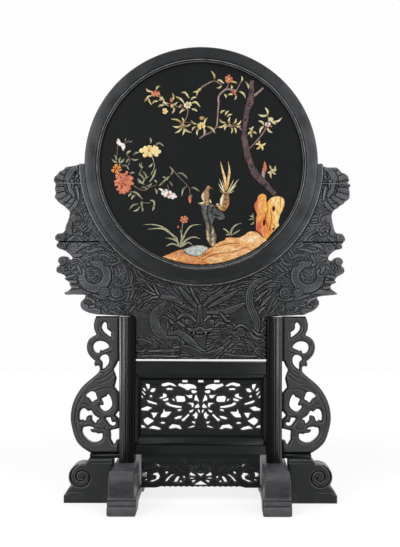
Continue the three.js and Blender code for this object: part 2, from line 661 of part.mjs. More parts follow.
function rail(name, z0, z1) {
  const end = postInner - JOINT_GAP;
  const body = box(-end, end, -RAIL_DEPTH / 2, RAIL_DEPTH / 2, z0, z1);
  const tenons = box(-postInner - RAIL_TENON, postInner + RAIL_TENON, -railY, railY, z0 + RAIL_SHOULDER,
    z1 - RAIL_SHOULDER);
  addNode(name, toGeometry(body.add(tenons)), WOOD);
}
rail('upper_rail', upperRailBottom, UPPER_RAIL_TOP_Z);
rail('lower_rail', lowerRailBottom, LOWER_RAIL_TOP_Z);

// Bevelled frame of four members round the pierced panel
const frameOuterX = postInner - JOINT_GAP;
const frameTop = upperRailBottom - GLUE_GAP;
const frameBottom = LOWER_RAIL_TOP_Z + GLUE_GAP;
const frontY = -FRAME_DEPTH / 2;
const panelHalf = PANEL_THICKNESS / 2;
const panelX = frameOuterX - FRAME_STILE + PANEL_TUCK;
const panelTop = frameTop - FRAME_HEAD + PANEL_TUCK;
const panelBottom = frameBottom + FRAME_SILL - PANEL_TUCK;
const panelSlot = box(-panelX - GLUE_GAP, panelX + GLUE_GAP, -panelHalf - GLUE_GAP, panelHalf + GLUE_GAP,
  panelBottom - GLUE_GAP, panelTop + GLUE_GAP);
const stileEdge = frameOuterX - FRAME_STILE;
const stileProfile = [
  [frameOuterX, frontY], [stileEdge + FRAME_BEVEL, frontY], [stileEdge, frontY + FRAME_BEVEL],
  [stileEdge, -frontY], [frameOuterX, -frontY],
];
const stileShape = new THREE.Shape(stileProfile.map(([x, y]) => new THREE.Vector2(x, y)));
const stileLength = frameTop - frameBottom;
const stileBody = new THREE.ExtrudeGeometry(stileShape, { depth: stileLength, bevelEnabled: false });
stileBody.translate(0, 0, frameBottom);
const stileFace = slab([
  [frameOuterX + 1, frameBottom - 1 + halfGap], [frameOuterX + 1, frameTop + 1 - halfGap],
  [stileEdge, frameTop - FRAME_HEAD - halfGap], [stileEdge, frameBottom + FRAME_SILL + halfGap],
], -reach, reach);
sided('frame_stile', toSolid(stileBody).intersect(stileFace).subtract(panelSlot), WOOD);

function frameMember(name, z, innerZ) {
  const way = Math.sign(z - innerZ);
  const profile = [[frontY, z], [frontY, innerZ + way * FRAME_BEVEL], [frontY + FRAME_BEVEL, innerZ],
    [-frontY, innerZ], [-frontY, z]];
  const face = slab([
    [-frameOuterX - 1 + JOINT_GAP, z + way], [frameOuterX + 1 - JOINT_GAP, z + way],
    [stileEdge - halfGap, innerZ], [-stileEdge + halfGap, innerZ],
  ], -reach, reach);
  const bar = sideSlab(profile, -frameOuterX + halfGap, frameOuterX - halfGap);
  addNode(name, toGeometry(bar.intersect(face).subtract(panelSlot)), WOOD);
}
frameMember('frame_head', frameTop, frameTop - FRAME_HEAD);
frameMember('frame_sill', frameBottom, frameBottom + FRAME_SILL);

// Pierced panel: openings between two mirrored dragons, drawn for the left half as [right, up] from the
// middle of the panel's field
const panelMid = (panelTop + panelBottom) / 2 + FIELD_RISE;
const panelOpenings = [
  [[-79, 39], [-78, 43], [-66, 46], [-57, 44], [-49, 39], [-53, 38], [-62, 41], [-72, 38]],
  [[-46, 40], [-43, 44], [-35, 42], [-24, 43], [-14, 41], [-9, 37], [-10, 33], [-18, 34], [-27, 30],
    [-33, 34]],
  [[-70, 33], [-66, 35], [-57, 34], [-57, 31], [-68, 31]],
  [[-18, 31], [-12, 30], [-7, 28], [-10, 25], [-16, 24], [-19, 27]],
  [[-31, 22], [-26, 20], [-17, 21], [-18, 15], [-23, 14], [-27, 18]],
  [[-51, 16], [-47, 19], [-33, 18], [-31, 10], [-34, 7], [-48, 7], [-49, 12]],
  [[-58, 14], [-53, 12], [-52, 9], [-55, 9]],
  [[-9, 22], [-3, 6], [-7, 9], [-13, 10], [-12, 17]],
  [[-27, 5], [-15, 5], [-14, 0], [-17, -5], [-19, 1]],
  [[-6, 4], [-2.5, -2], [-4, -5], [-12, -5], [-12, -3]],
  [[-6, -7], [-2.5, -10], [-2, -16], [-5, -13]],
  [[-71, 5], [-66, 6], [-61, 2], [-46, -1], [-39, -2], [-39, -5], [-50, -5], [-62, -2], [-69, 1]],
  [[-47, -9], [-39, -7], [-39, -10], [-45, -12]],
  [[-76, 24], [-69, 22], [-69, 17], [-74, 15], [-81, 13], [-84, 15], [-76, 18]],
  [[-78, 11], [-65, 15], [-66, 10], [-73, 8]],
  [[-74, -7], [-72, -13], [-59, -13], [-65, -20], [-70, -24], [-81, -24], [-79, -18], [-76, -15]],
  [[-54, -26], [-46, -22], [-37, -21], [-41, -26], [-50, -28]],
  [[-25, -17], [-23, -20], [-31, -28], [-34, -32], [-39, -30], [-37, -27], [-33, -25]],
  [[-23, -11], [-14, -8], [-17, -13], [-22, -15]],
  [[-10, -13], [-6, -18], [-8, -26], [-12, -27], [-13, -22], [-17, -20], [-12, -17]],
  [[-18, -32], [-11, -33], [-12, -37], [-17, -35]],
  [[-27, -45], [-13, -40], [-13, -43], [-20, -45]],
  [[-64, -44], [-57, -38], [-43, -40], [-38, -47], [-42, -48], [-49, -45], [-62, -47]],
  [[-82, -35], [-76, -33], [-71, -35], [-73, -37], [-79, -37]],
  [[-109, 10], [-106, 10], [-88, 4], [-89, 1], [-105, 5]],
  [[-120, -7], [-108, -2], [-98, -5], [-101, -7], [-107, -11], [-119, -10]],
  [[-100, -15], [-87, -15], [-91, -22], [-95, -26], [-97, -20]],
  [[-115, -29], [-107, -24], [-101, -27], [-94, -31], [-99, -35], [-107, -40], [-113, -35]],
  [[-120, -39], [-114, -41], [-110, -45], [-120, -45]],
  [[-105, -46], [-96, -41], [-85, -44], [-79, -48], [-86, -49], [-99, -47]],
  [[-117, 34], [-114, 35], [-110, 30], [-113, 28]],
  [[-119, 28], [-117, 28], [-111, 22], [-113, 20]],
  [[-121, 20], [-119, 20], [-115, 15], [-118, 15]],
  [[-111, 43], [-103, 42], [-103, 36], [-106, 31], [-109, 37]],
  [[-102, 28], [-98, 34], [-91, 34], [-93, 28], [-98, 26]],
  [[-103, 18], [-100, 21], [-97, 17], [-101, 16]],
];

function pierce(board, outlines, middle, thickness) {
  let left = board;
  outlines.forEach((outline) => {
    const placed = outline.map(([x, z]) => [x, z + middle]);
    [placed, mirrored(placed)].forEach((ring) => {
      left = left.subtract(slab(ring, -thickness, thickness));
    });
  });
  return left;
}

let pierced = box(-panelX, panelX, -panelHalf, panelHalf, panelBottom, panelTop);
pierced = pierce(pierced, panelOpenings, panelMid, PANEL_THICKNESS);
[-SQUARE_SPACING, 0, SQUARE_SPACING].forEach((x) => {
  const z = panelMid + SQUARE_RISE;
  const [halfWidth, halfHeight] = [SQUARE_WIDTH / 2, SQUARE_HEIGHT / 2];
  pierced = pierced.subtract(box(x - halfWidth, x + halfWidth, -PANEL_THICKNESS, PANEL_THICKNESS,
    z - halfHeight, z + halfHeight));
});
addNode('pierced_panel', toGeometry(pierced), WOOD);

// Apron: a plain band over a pierced drop of leaf scrolls with a lobed lower edge, between the shoe feet
const apronEnd = shoeInner - JOINT_GAP;
const apronTop = lowerRailBottom - GLUE_GAP;
const lobes = [];
for (let i = 0; i <= LOBE_COUNT * 4; i += 1) {
  const t = i / (LOBE_COUNT * 4);
  const lift = LOBE_RISE * (0.5 + 0.5 * Math.abs(Math.cos(Math.PI * LOBE_COUNT * t)));
  lobes.push([-LOBED_HALF + 2 * LOBED_HALF * t, APRON_BOTTOM_Z + lift]);
}
const apronOutline = [
  [-apronEnd, APRON_BOTTOM_Z], [-LOBED_HALF - LOBE_MARGIN, APRON_BOTTOM_Z], ...lobes,
  [LOBED_HALF + LOBE_MARGIN, APRON_BOTTOM_Z], [apronEnd, APRON_BOTTOM_Z],
  [apronEnd, apronTop], [-apronEnd, apronTop],
];
const apronOpenings = [
  [[-117, 29], [-108, 31], [-110, 25], [-107, 21], [-117, 23]],
  [[-97, 25], [-93, 29], [-86, 30], [-82, 24], [-84, 17], [-96, 11], [-105, 12], [-90, 17], [-88, 22],
    [-93, 25]],
  [[-113, 16], [-107, 17], [-108, 14], [-112, 14]],
  [[-89, 47], [-86, 47], [-82, 43], [-84, 42]],
  [[-71, 31], [-66, 33], [-66, 29], [-70, 27]],
  [[-72, 13], [-66, 20], [-59, 26], [-51, 28], [-61, 21], [-68, 12]],
  [[-54, 11], [-49, 20], [-45, 23], [-42, 22], [-48, 11]],
  [[-43, 10], [-40, 15], [-36, 11]],
  [[-36, 22], [-33, 24], [-31, 20], [-33, 18]],
  [[-23, 25], [-20, 31], [-10, 25], [-11, 23], [-18, 23]],
  [[-24, 20], [-13, 20], [-14, 17.5], [-20, 17]],
  [[-18, 14], [-10, 16], [-11, 13], [-16, 9]],
];
const apronCentre = [
  [[-7, 29], [0, 28], [7, 29], [6, 27], [0, 22], [-6, 27]],
  [[-13, 6], [0, 14], [13, 6], [12, 5], [-12, 5]],
];
const apronHalf = APRON_THICKNESS / 2;
let apron = pierce(slab(apronOutline, -apronHalf, apronHalf), apronOpenings, APRON_BOTTOM_Z, APRON_THICKNESS);
apronCentre.forEach((outline) => {
  const placed = outline.map(([x, z]) => [x, z + APRON_BOTTOM_Z]);
  apron = apron.subtract(slab(placed, -APRON_THICKNESS, APRON_THICKNESS));
});
addNode('apron', toGeometry(apron), WOOD);

// Shoe feet, front to back, with rolled ends; the post stands in the saddle between them
const shoeHalf = SHOE_LENGTH / 2;
const shoeEnd = [
  [-shoeHalf, 0], [-shoeHalf, 17], [-shoeHalf + 5, 19], [-shoeHalf + 5, 31], [-shoeHalf + 9, 33],
  [-shoeHalf + 6, 42], [-shoeHalf + 2, 54], [-shoeHalf + 2, 66], [-shoeHalf + 8, 76],
  [-shoeHalf + 20, SHOE_ROLL_Z], [-shoeHalf + 34, SHOE_ROLL_Z], [-shoeHalf + 46, 77],
  [-shoeHalf + 60, SHOE_SADDLE_Z - 4], [-shoeHalf + 84, SHOE_SADDLE_Z],
];
const shoeBack = shoeEnd.map(([y, z]) => [-y, z]).reverse();
const padEnd = shoeHalf - SHOE_PAD_LENGTH;
const underArch = [
  [padEnd, 0], [padEnd - ARCH_SLOPE, ARCH_RISE], [-padEnd + ARCH_SLOPE, ARCH_RISE], [-padEnd, 0],
];
sided('shoe_foot', sideSlab([...shoeEnd, ...shoeBack, ...underArch].reverse(), shoeInner, shoeOuter)
  .subtract(postTenon(JOINT_GAP)), WOOD);

// Scroll feet, to the sides, each with a plinth and a pierced scroll bracket against the post
const scrollStart = shoeOuter + JOINT_GAP;
const scrollTop = SCROLL_FOOT_HEIGHT;
const toe = SCROLL_FOOT_REACH;
const scrollOutline = [
  [scrollStart, 0], [toe, 0], [toe, 15], [toe - 3, 19], [toe - 6, 24], [toe - 9, 29],
  ...arc(toe - 9.5 - VOLUTE_RADIUS, VOLUTE_RISE, VOLUTE_RADIUS, -42, 105, 12),
  [toe - FOOT_TOP_SET_IN + 6, scrollTop - 6], [toe - FOOT_TOP_SET_IN, scrollTop], [scrollStart, scrollTop],
];
sided('scroll_foot', slab(scrollOutline, -SCROLL_FOOT_DEPTH / 2, SCROLL_FOOT_DEPTH / 2), WOOD);
const plinthTop = scrollTop + GLUE_GAP + PLINTH_HEIGHT;
sided('bracket_plinth', box(postOuter + JOINT_GAP, toe - FOOT_TOP_SET_IN, -PLINTH_DEPTH / 2, PLINTH_DEPTH / 2,
  scrollTop + GLUE_GAP, plinthTop), WOOD);

const bracketInner = postOuter + JOINT_GAP;
const bracketBase = plinthTop + GLUE_GAP;
const bracketTop = SHOULDER_Z + BRACKET_RISE;
const bracketOutline = [
  [bracketInner, bracketBase], [220, bracketBase], [237, 107], [249, 120], [257, 142], [261, 163], [260, 182],
  [255, 201], [245, 220], [235.5, 232], [225.5, 241], [211, 253], [205, 259], [203, 265], [204, 270],
  [208, 272], [210, 270], [213, 272], [214, 277], [212, 281], [214, 282.5], [222, 290], [227, 298],
  [229, 308], [228, 317], [224, 325], [216, 331], [210, 334], [211, 337], [214, 344], [215, 354], [213, 364],
  [210, bracketTop], [bracketInner, bracketTop],
];
const bracketHoles = [
  [[193, 359], [197, 355], [199, 349], [197, 343], [192, 337], [180, 329], [181, 335], [180, 339], [187, 344],
    [189, 349], [189, 356]],
  [[203, 321], [210, 319], [215, 314], [216, 308], [213, 300], [206, 297], [203, 299], [202, 304], [199, 302],
    [192, 305], [184, 309], [188, 316], [195, 320]],
  [[192, 294], [198, 292], [203, 285], [198, 280], [197, 273], [197, 265], [191, 269], [185, 277], [184, 283],
    [185, 289], [188, 293]],
  [[218, 220], [225, 217], [231, 210], [225, 207], [221, 202], [218, 198], [214, 202], [208, 205], [210, 213],
    [212, 218]],
  [[186, 215], [189, 210], [194, 208], [199, 204], [196, 198], [195, 193], [198, 192], [201.5, 193],
    [202, 188], [197, 182], [191, 180], [183, 185], [178, 193], [179, 202], [182, 210]],
  [[235, 186], [241, 181], [243, 172], [242, 161], [238, 164], [232, 160], [229, 169], [224, 172], [218, 171],
    [218, 164], [215, 159], [210, 156], [209, 162], [203, 165], [212, 171], [217, 177], [220, 182],
    [226, 180], [230, 184]],
  [[191, 166], [181, 168], [180, 163], [177, 158], [172, 159], [171, 155], [176, 151], [182, 153],
    [187, 160]],
  [[235, 148], [228, 149], [226, 150], [214, 147], [215, 144], [222, 144], [218, 138], [209, 137], [206, 135],
    [198, 136], [197, 130], [200, 123], [210, 118], [220, 119], [230, 126], [236, 134], [237, 142]],
];
const bracketNotches = [
  [[160, 281], [166, 281], [169, 274], [175, 263], [172, 256], [169, 246], [171, 237], [173, 229], [166, 220],
    [160, 220]],
  [[160, 180], [165, 180], [171, 172], [165, 166], [160, 166]],
  [[160, 146], [165, 146], [181, 142], [180, 134], [180, 124], [175, 115], [172, 115], [170, 122], [165, 124],
    [160, 124]],
];
const bracketCurve = smooth(bracketOutline.slice(1, -1), 2, false);
const bracketSmooth = [bracketOutline[0], ...bracketCurve, bracketOutline.at(-1)];
let bracket = slab(bracketSmooth, -BRACKET_DEPTH / 2, BRACKET_DEPTH / 2);
bracketHoles.forEach((ring) => {
  bracket = bracket.subtract(slab(smooth(ring, 2), -BRACKET_DEPTH, BRACKET_DEPTH));
});
bracketNotches.forEach((ring) => {
  bracket = bracket.subtract(slab(ring, -BRACKET_DEPTH, BRACKET_DEPTH));
});
sided('scroll_bracket', bracket, WOOD);

export default screen;
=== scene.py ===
# Looks of a round hardstone-inlaid table screen of dark hardwood.
# The frame and the camera are in metres; carving and inlays are drawn in millimetres. +Z is up and the
# inlaid face looks towards -Y.
import json
import math

import bpy
import numpy as np
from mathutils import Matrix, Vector
from mathutils.geometry import tessellate_polygon


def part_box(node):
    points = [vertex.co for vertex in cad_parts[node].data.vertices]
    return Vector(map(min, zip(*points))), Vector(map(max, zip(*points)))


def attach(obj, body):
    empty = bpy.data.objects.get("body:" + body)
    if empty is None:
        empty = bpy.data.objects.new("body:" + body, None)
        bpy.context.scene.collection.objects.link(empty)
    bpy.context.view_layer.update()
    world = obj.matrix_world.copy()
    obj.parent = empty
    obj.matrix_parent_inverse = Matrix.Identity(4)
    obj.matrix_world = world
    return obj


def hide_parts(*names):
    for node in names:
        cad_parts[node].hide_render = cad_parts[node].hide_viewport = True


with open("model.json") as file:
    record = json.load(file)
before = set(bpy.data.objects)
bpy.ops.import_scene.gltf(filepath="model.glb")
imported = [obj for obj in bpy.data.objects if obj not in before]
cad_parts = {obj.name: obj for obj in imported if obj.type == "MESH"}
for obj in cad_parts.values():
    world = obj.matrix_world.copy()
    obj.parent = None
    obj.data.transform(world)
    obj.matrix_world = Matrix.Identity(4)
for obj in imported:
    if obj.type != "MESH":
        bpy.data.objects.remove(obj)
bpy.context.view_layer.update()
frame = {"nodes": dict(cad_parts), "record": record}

MM = 0.001

# Camera: the photograph's scale holds in the plane of the carved front
IMAGE_HEIGHT = 547
SCALE_MM_PER_PIXEL = 2.0
PICTURE_REACH = IMAGE_HEIGHT * SCALE_MM_PER_PIXEL * MM
SCALE_PLANE = 0.012
CAMERA_DISTANCE = 2.28
CAMERA_HEIGHT = 0.457
CAMERA_X = 0.036
AIM_X = -0.002
CAMERA_ROLL = math.radians(-0.12)
SENSOR_MM = 36.0


def middle_and_half(node, axis):
    low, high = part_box(node)
    return (low[axis] + high[axis]) / 2 / MM, (high[axis] - low[axis]) / 2 / MM


DISC_Z, PANEL_RADIUS = middle_and_half("ground_panel", 2)
DISC_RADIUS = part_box("ring_segment_top")[1].z / MM - DISC_Z
DISC_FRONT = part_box("ring_segment_top")[0].y / MM
GROUND_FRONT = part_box("ground_panel")[0].y / MM
SLIDE_GAP = 0.5
CRESCENT_RADIUS = DISC_RADIUS + SLIDE_GAP
RIB_HALF = 5.0
RIB_HEIGHT = 6.0
RELIEF_DEPTH = 9.0


# Curves

FAR = 1e9
TINY = 1e-6
FLAT_WITHIN = 0.02


def smooth(points, per_span=6, closed=False):
    """A Catmull-Rom curve through the points."""
    p = np.asarray(points, float)
    if closed:
        p = np.vstack([p[-1:], p, p[:2]])
    else:
        p = np.vstack([2 * p[:1] - p[1:2], p, 2 * p[-1:] - p[-2:-1]])
    t = np.arange(per_span)[:, None] / per_span
    spans = []
    for a, b, c, d in zip(p[:-3], p[1:-2], p[2:-1], p[3:]):
        bend = 2 * a - 5 * b + 4 * c - d
        twist = 3 * b - a - 3 * c + d
        spans.append(0.5 * (2 * b + (c - a) * t + bend * t**2 + twist * t**3))
    if not closed:
        spans.append(p[-2:-1])
    return np.vstack(spans)


def drawn(points, per_span=6):
    """A smooth line through the points, or the straight one between two."""
    return smooth(points, per_span) if len(points) > 2 else np.asarray(points, float)


def directions(line):
    """Unit vectors along a line and to its left, at each of its points."""
    ahead = np.gradient(line, axis=0)
    ahead /= np.hypot(ahead[:, 0], ahead[:, 1])[:, None]
    return ahead, np.stack([-ahead[:, 1], ahead[:, 0]], 1)


def mirrored(points, side):
    return [[side * x, z] for x, z in points]


def ring_points(cx, cz, radius, start, end, count):
    angles = np.radians(np.linspace(start, end, count))
    return np.stack([cx + radius * np.cos(angles), cz + radius * np.sin(angles)], 1)


def to_line(x, z, line):
    """Each point's distance to a polyline, place along it and signed distance to its side."""
    best = np.full(x.shape, FAR)
    along = np.zeros(x.shape)
    side = np.zeros(x.shape)
    done = 0.0
    for (x0, z0), (x1, z1) in zip(line[:-1], line[1:]):
        dx, dz = x1 - x0, z1 - z0
        long = math.hypot(dx, dz)
        if long < TINY:
            continue
        t = np.clip(((x - x0) * dx + (z - z0) * dz) / long**2, 0.0, 1.0)
        ox, oz = x - x0 - t * dx, z - z0 - t * dz
        gap = np.hypot(ox, oz)
        near = gap < best
        best[near] = gap[near]
        along[near] = (done + t * long)[near]
        side[near] = (np.sign(dx * oz - dz * ox) * gap)[near]
        done += long
    return best, along, side, done


def distance_to(x, z, segments):
    """Each point's distance to the nearest of many sides."""
    best = np.full(x.shape, FAR)
    for x0, z0, x1, z1 in segments:
        dx, dz = x1 - x0, z1 - z0
        t = np.clip(((x - x0) * dx + (z - z0) * dz) / (dx * dx + dz * dz), 0.0, 1.0)
        np.minimum(best, (x - x0 - t * dx) ** 2 + (z - z0 - t * dz) ** 2, out=best)
    return np.sqrt(best)


def inside_of(x, z, segments):
    """Whether each point lies inside the loops that the sides close."""
    inside = np.zeros(x.shape, dtype=bool)
    for x0, z0, x1, z1 in segments:
        if z0 != z1:
            crosses = (z0 <= z) != (z1 <= z)
            inside ^= crosses & (x < x0 + (z - z0) / (z1 - z0) * (x1 - x0))
    return inside


def chained(edges):
    """Directed edges, as pairs, put in order as closed loops of their starts."""
    after = dict(edges)
    loops = []
    while after:
        start = next(iter(after))
        loop = [start]
        step = after.pop(start)
        while step != start and step in after:
            loop.append(step)
            step = after.pop(step)
        loops.append(loop)
    return loops


def cap_loops(node, axis, far=False):
    """The loops round a node's flat face at the low end of an axis, or the far end, as [across, up] mm."""
    mesh = bpy.data.objects[node].data
    mesh.calc_loop_triangles()
    places = np.array([v.co for v in mesh.vertices]) / MM
    corners = np.array([t.vertices for t in mesh.loop_triangles])
    level = places[:, axis].max() if far else places[:, axis].min()
    flat = (np.abs(places[corners][:, :, axis] - level) < FLAT_WITHIN).all(1)
    across = 1 - axis
    names = [tuple(p) for p in np.round(places[:, [across, 2]], 3)]
    edges = {}
    for triangle in corners[flat]:
        ids = [names[i] for i in triangle]
        for a, b in zip(ids, ids[1:] + ids[:1]):
            if (b, a) in edges:
                del edges[(b, a)]
            else:
                edges[(a, b)] = True
    return [np.array(loop) for loop in chained(list(edges))]


def segments_of(loops):
    """The sides of closed loops, as rows of [across, up, next across, next up]."""
    return np.concatenate([np.hstack([loop, np.roll(loop, -1, 0)]) for loop in loops])


# Relief: heights in mm over a lattice; strokes are laid one over another, each in its own sunk outline


class Relief:
    def __init__(self, low, high, step, depth, ground):
        self.step = step
        self.depth = depth
        self.low = np.floor(np.asarray(low, float) / step) * step
        count = np.ceil((np.asarray(high) - self.low) / step).astype(int) + 1
        self.x = self.low[0] + step * np.arange(count[0])
        self.z = self.low[1] + step * np.arange(count[1])
        self.h = np.full((count[1], count[0]), float(ground))
        # shine is added to the crest: raised for painted highlight lines and lowered for painted dark lines.
        self.shine = np.zeros_like(self.h)

    def window(self, low, high):
        """The part of the lattice between two corners, as slices and as its points."""
        first = np.maximum(np.floor((low - self.low) / self.step).astype(int), 0)
        last = np.ceil((high - self.low) / self.step).astype(int) + 2
        last = np.minimum(last, (len(self.x), len(self.z)))
        last = np.maximum(last, first)
        rows, columns = slice(first[1], last[1]), slice(first[0], last[0])
        x, z = np.meshgrid(self.x[columns], self.z[rows])
        return (rows, columns), x, z

    def lay(self, place, gap, half, value, foot, moat):
        """Puts a form on the lattice, and sinks what lies round it."""
        view = self.h[place]
        rim = (gap >= half) & (gap < half + moat)
        view[rim] = np.minimum(view[rim], foot - 0.8)
        body = gap < half
        view[body] = np.minimum(value, self.depth)[body]

    def stroke(self, points, widths, top=7.5, kind="round", count=3, pitch=5.0, drop=3.5, moat=1.7, pen=6):
        """A raised band. kind is round, flat, strands (lengthwise), scales (a net) or ribs (crosswise)."""
        line = drawn(points, pen)
        reach = max(widths) / 2 + moat
        place, x, z = self.window(line.min(0) - reach, line.max(0) + reach)
        if x.size == 0:
            return
        gap, along, side, long = to_line(x, z, line)
        half = 0.5 * np.interp(along / long, np.linspace(0, 1, len(widths)), widths)
        v = np.clip(gap / half, 0.0, 1.0)
        foot = top - drop
        dome = (1 - v**4) ** 0.5 if kind == "flat" else (1 - v**2) ** 0.5
        value = foot + drop * dome
        if kind == "strands":
            lane = (np.clip(side / half, -1, 1) + 1) / 2 * count % 1.0
            value = value - 1.9 * (1 - np.sqrt(np.clip(1 - (2 * lane - 1) ** 2, 0, 1)))
        if kind == "scales":
            a, b = along / pitch, side / pitch
            net = np.minimum(np.abs(np.sin(math.pi * (a + b))), np.abs(np.sin(math.pi * (a - b))))
            value = value - 1.5 * (1 - np.clip(net / 0.45, 0, 1)) * (v < 0.86)
        if kind == "ribs":
            value = value - 1.4 * (along / pitch % 1.0)
        self.lay(place, gap, half, value, foot, moat)

    def around(self, cx, cz, reach):
        """The lattice round a centre, and each of its points' distance to it."""
        centre = np.array([cx, cz])
        place, x, z = self.window(centre - reach, centre + reach)
        return place, x - cx, z - cz, np.hypot(x - cx, z - cz)

    def spiral(self, cx, cz, radius, turns=1.7, hand=1, lean=0.0, top=7.0, drop=2.2, moat=0.4):
        """A raised disc with a thin coiled ridge."""
        place, x, z, rho = self.around(cx, cz, radius + moat)
        if x.size == 0:
            return
        theta = hand * np.arctan2(z, x) + lean
        phase = (rho / (radius / turns) - theta / (2 * math.pi)) % 1.0
        coil = np.exp(-(((phase - 0.5) / 0.2) ** 2))
        value = top - drop + drop * coil * np.clip(rho / (0.35 * radius), 0.1, 1)
        self.lay(place, rho, radius, value, top - drop, moat)

    def dome(self, cx, cz, radius, top=8.5, drop=4.0, moat=1.5):
        place, x, z, rho = self.around(cx, cz, radius + moat)
        value = top - drop + drop * np.sqrt(np.clip(1 - (rho / radius) ** 2, 0, 1))
        self.lay(place, rho, radius, value, top - drop, moat)

    def cut(self, points, width, depth, pen=6):
        """A groove along a line."""
        line = drawn(points, pen)
        place, x, z = self.window(line.min(0) - width, line.max(0) + width)
        if x.size == 0:
            return
        gap = to_line(x, z, line)[0]
        self.h[place] -= depth * np.clip(1 - (gap / (width / 2)) ** 2, 0, 1)

    def crest(self, passes=3):
        """How far each point stands over its surroundings: 0 deep, 0.5 level, 1 proud, plus shine's painted
        lines.
        """
        mean = self.h.copy()
        for _ in range(passes):
            padded = np.pad(mean, 1, mode="edge")
            mean = (padded[:-2, 1:-1] + padded[2:, 1:-1] + padded[1:-1, :-2] + padded[1:-1, 2:] + mean) / 5
        return np.clip(0.5 + 0.5 * np.tanh((self.h - mean) * 1.7) + self.shine, 0, 1)


# Pieces from arrays


def new_piece(name, places, faces, body, look, crest, replaces, sharp=50.0, tint=None):
    """places are in mm; faces are arrays of place numbers; crest and tint are values per place."""
    mesh = bpy.data.meshes.new(name)
    rows = [row for group in faces for row in group.tolist()]
    mesh.from_pydata((places * MM).tolist(), [], rows)
    mesh.validate()
    mesh.update()
    for word, values in (("crest", crest), ("tint", tint)):
        if values is not None and len(values) == len(mesh.vertices):
            layer = mesh.attributes.new(word, "FLOAT", "POINT")
            layer.data.foreach_set("value", np.asarray(values, np.float32))
    mesh.polygons.foreach_set("use_smooth", [True] * len(mesh.polygons))
    mesh.set_sharp_from_angle(angle=math.radians(sharp))
    mesh.materials.append(MATERIALS[look])
    item = bpy.data.objects.new(name, mesh)
    bpy.context.scene.collection.objects.link(item)
    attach(item, body)
    if replaces:
        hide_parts(replaces)


def filled(loops):
    """Triangles that fill flat loops, as numbers of their points."""
    return np.array(tessellate_polygon([[Vector((*p, 0.0)) for p in loop] for loop in loops]))


def wound(triangles, flat):
    """The triangles, all turned counter-clockwise over flat points."""
    p, q, s = (flat[triangles[:, i]] for i in range(3))
    turn = (q[:, 0] - p[:, 0]) * (s[:, 1] - p[:, 1]) - (q[:, 1] - p[:, 1]) * (s[:, 0] - p[:, 0])
    triangles[turn < 0] = triangles[turn < 0][:, ::-1]
    return triangles


def block(x0, x1, y0, y1, z0, z1, first):
    places = np.array([[x, y, z] for x in (x0, x1) for y in (y0, y1) for z in (z0, z1)], float)
    quads = np.array([[0, 1, 3, 2], [4, 6, 7, 5], [0, 4, 5, 1], [2, 3, 7, 6], [0, 2, 6, 4], [1, 5, 7, 3]])
    return places, quads + first


def without_pinches(cells):
    """Fills one cell wherever two cells meet only at a corner."""
    for _ in range(3):
        falling = cells[:-1, :-1] & cells[1:, 1:] & ~cells[:-1, 1:] & ~cells[1:, :-1]
        rising = cells[:-1, 1:] & cells[1:, :-1] & ~cells[:-1, :-1] & ~cells[1:, 1:]
        cells[:-1, 1:] |= falling
        cells[:-1, :-1] |= rising
    return cells


def fillet(distance, radius):
    """How far a rounded edge falls back at a distance from it."""
    short = np.clip(radius - distance, 0.0, radius)
    return radius - np.sqrt(radius**2 - short**2)


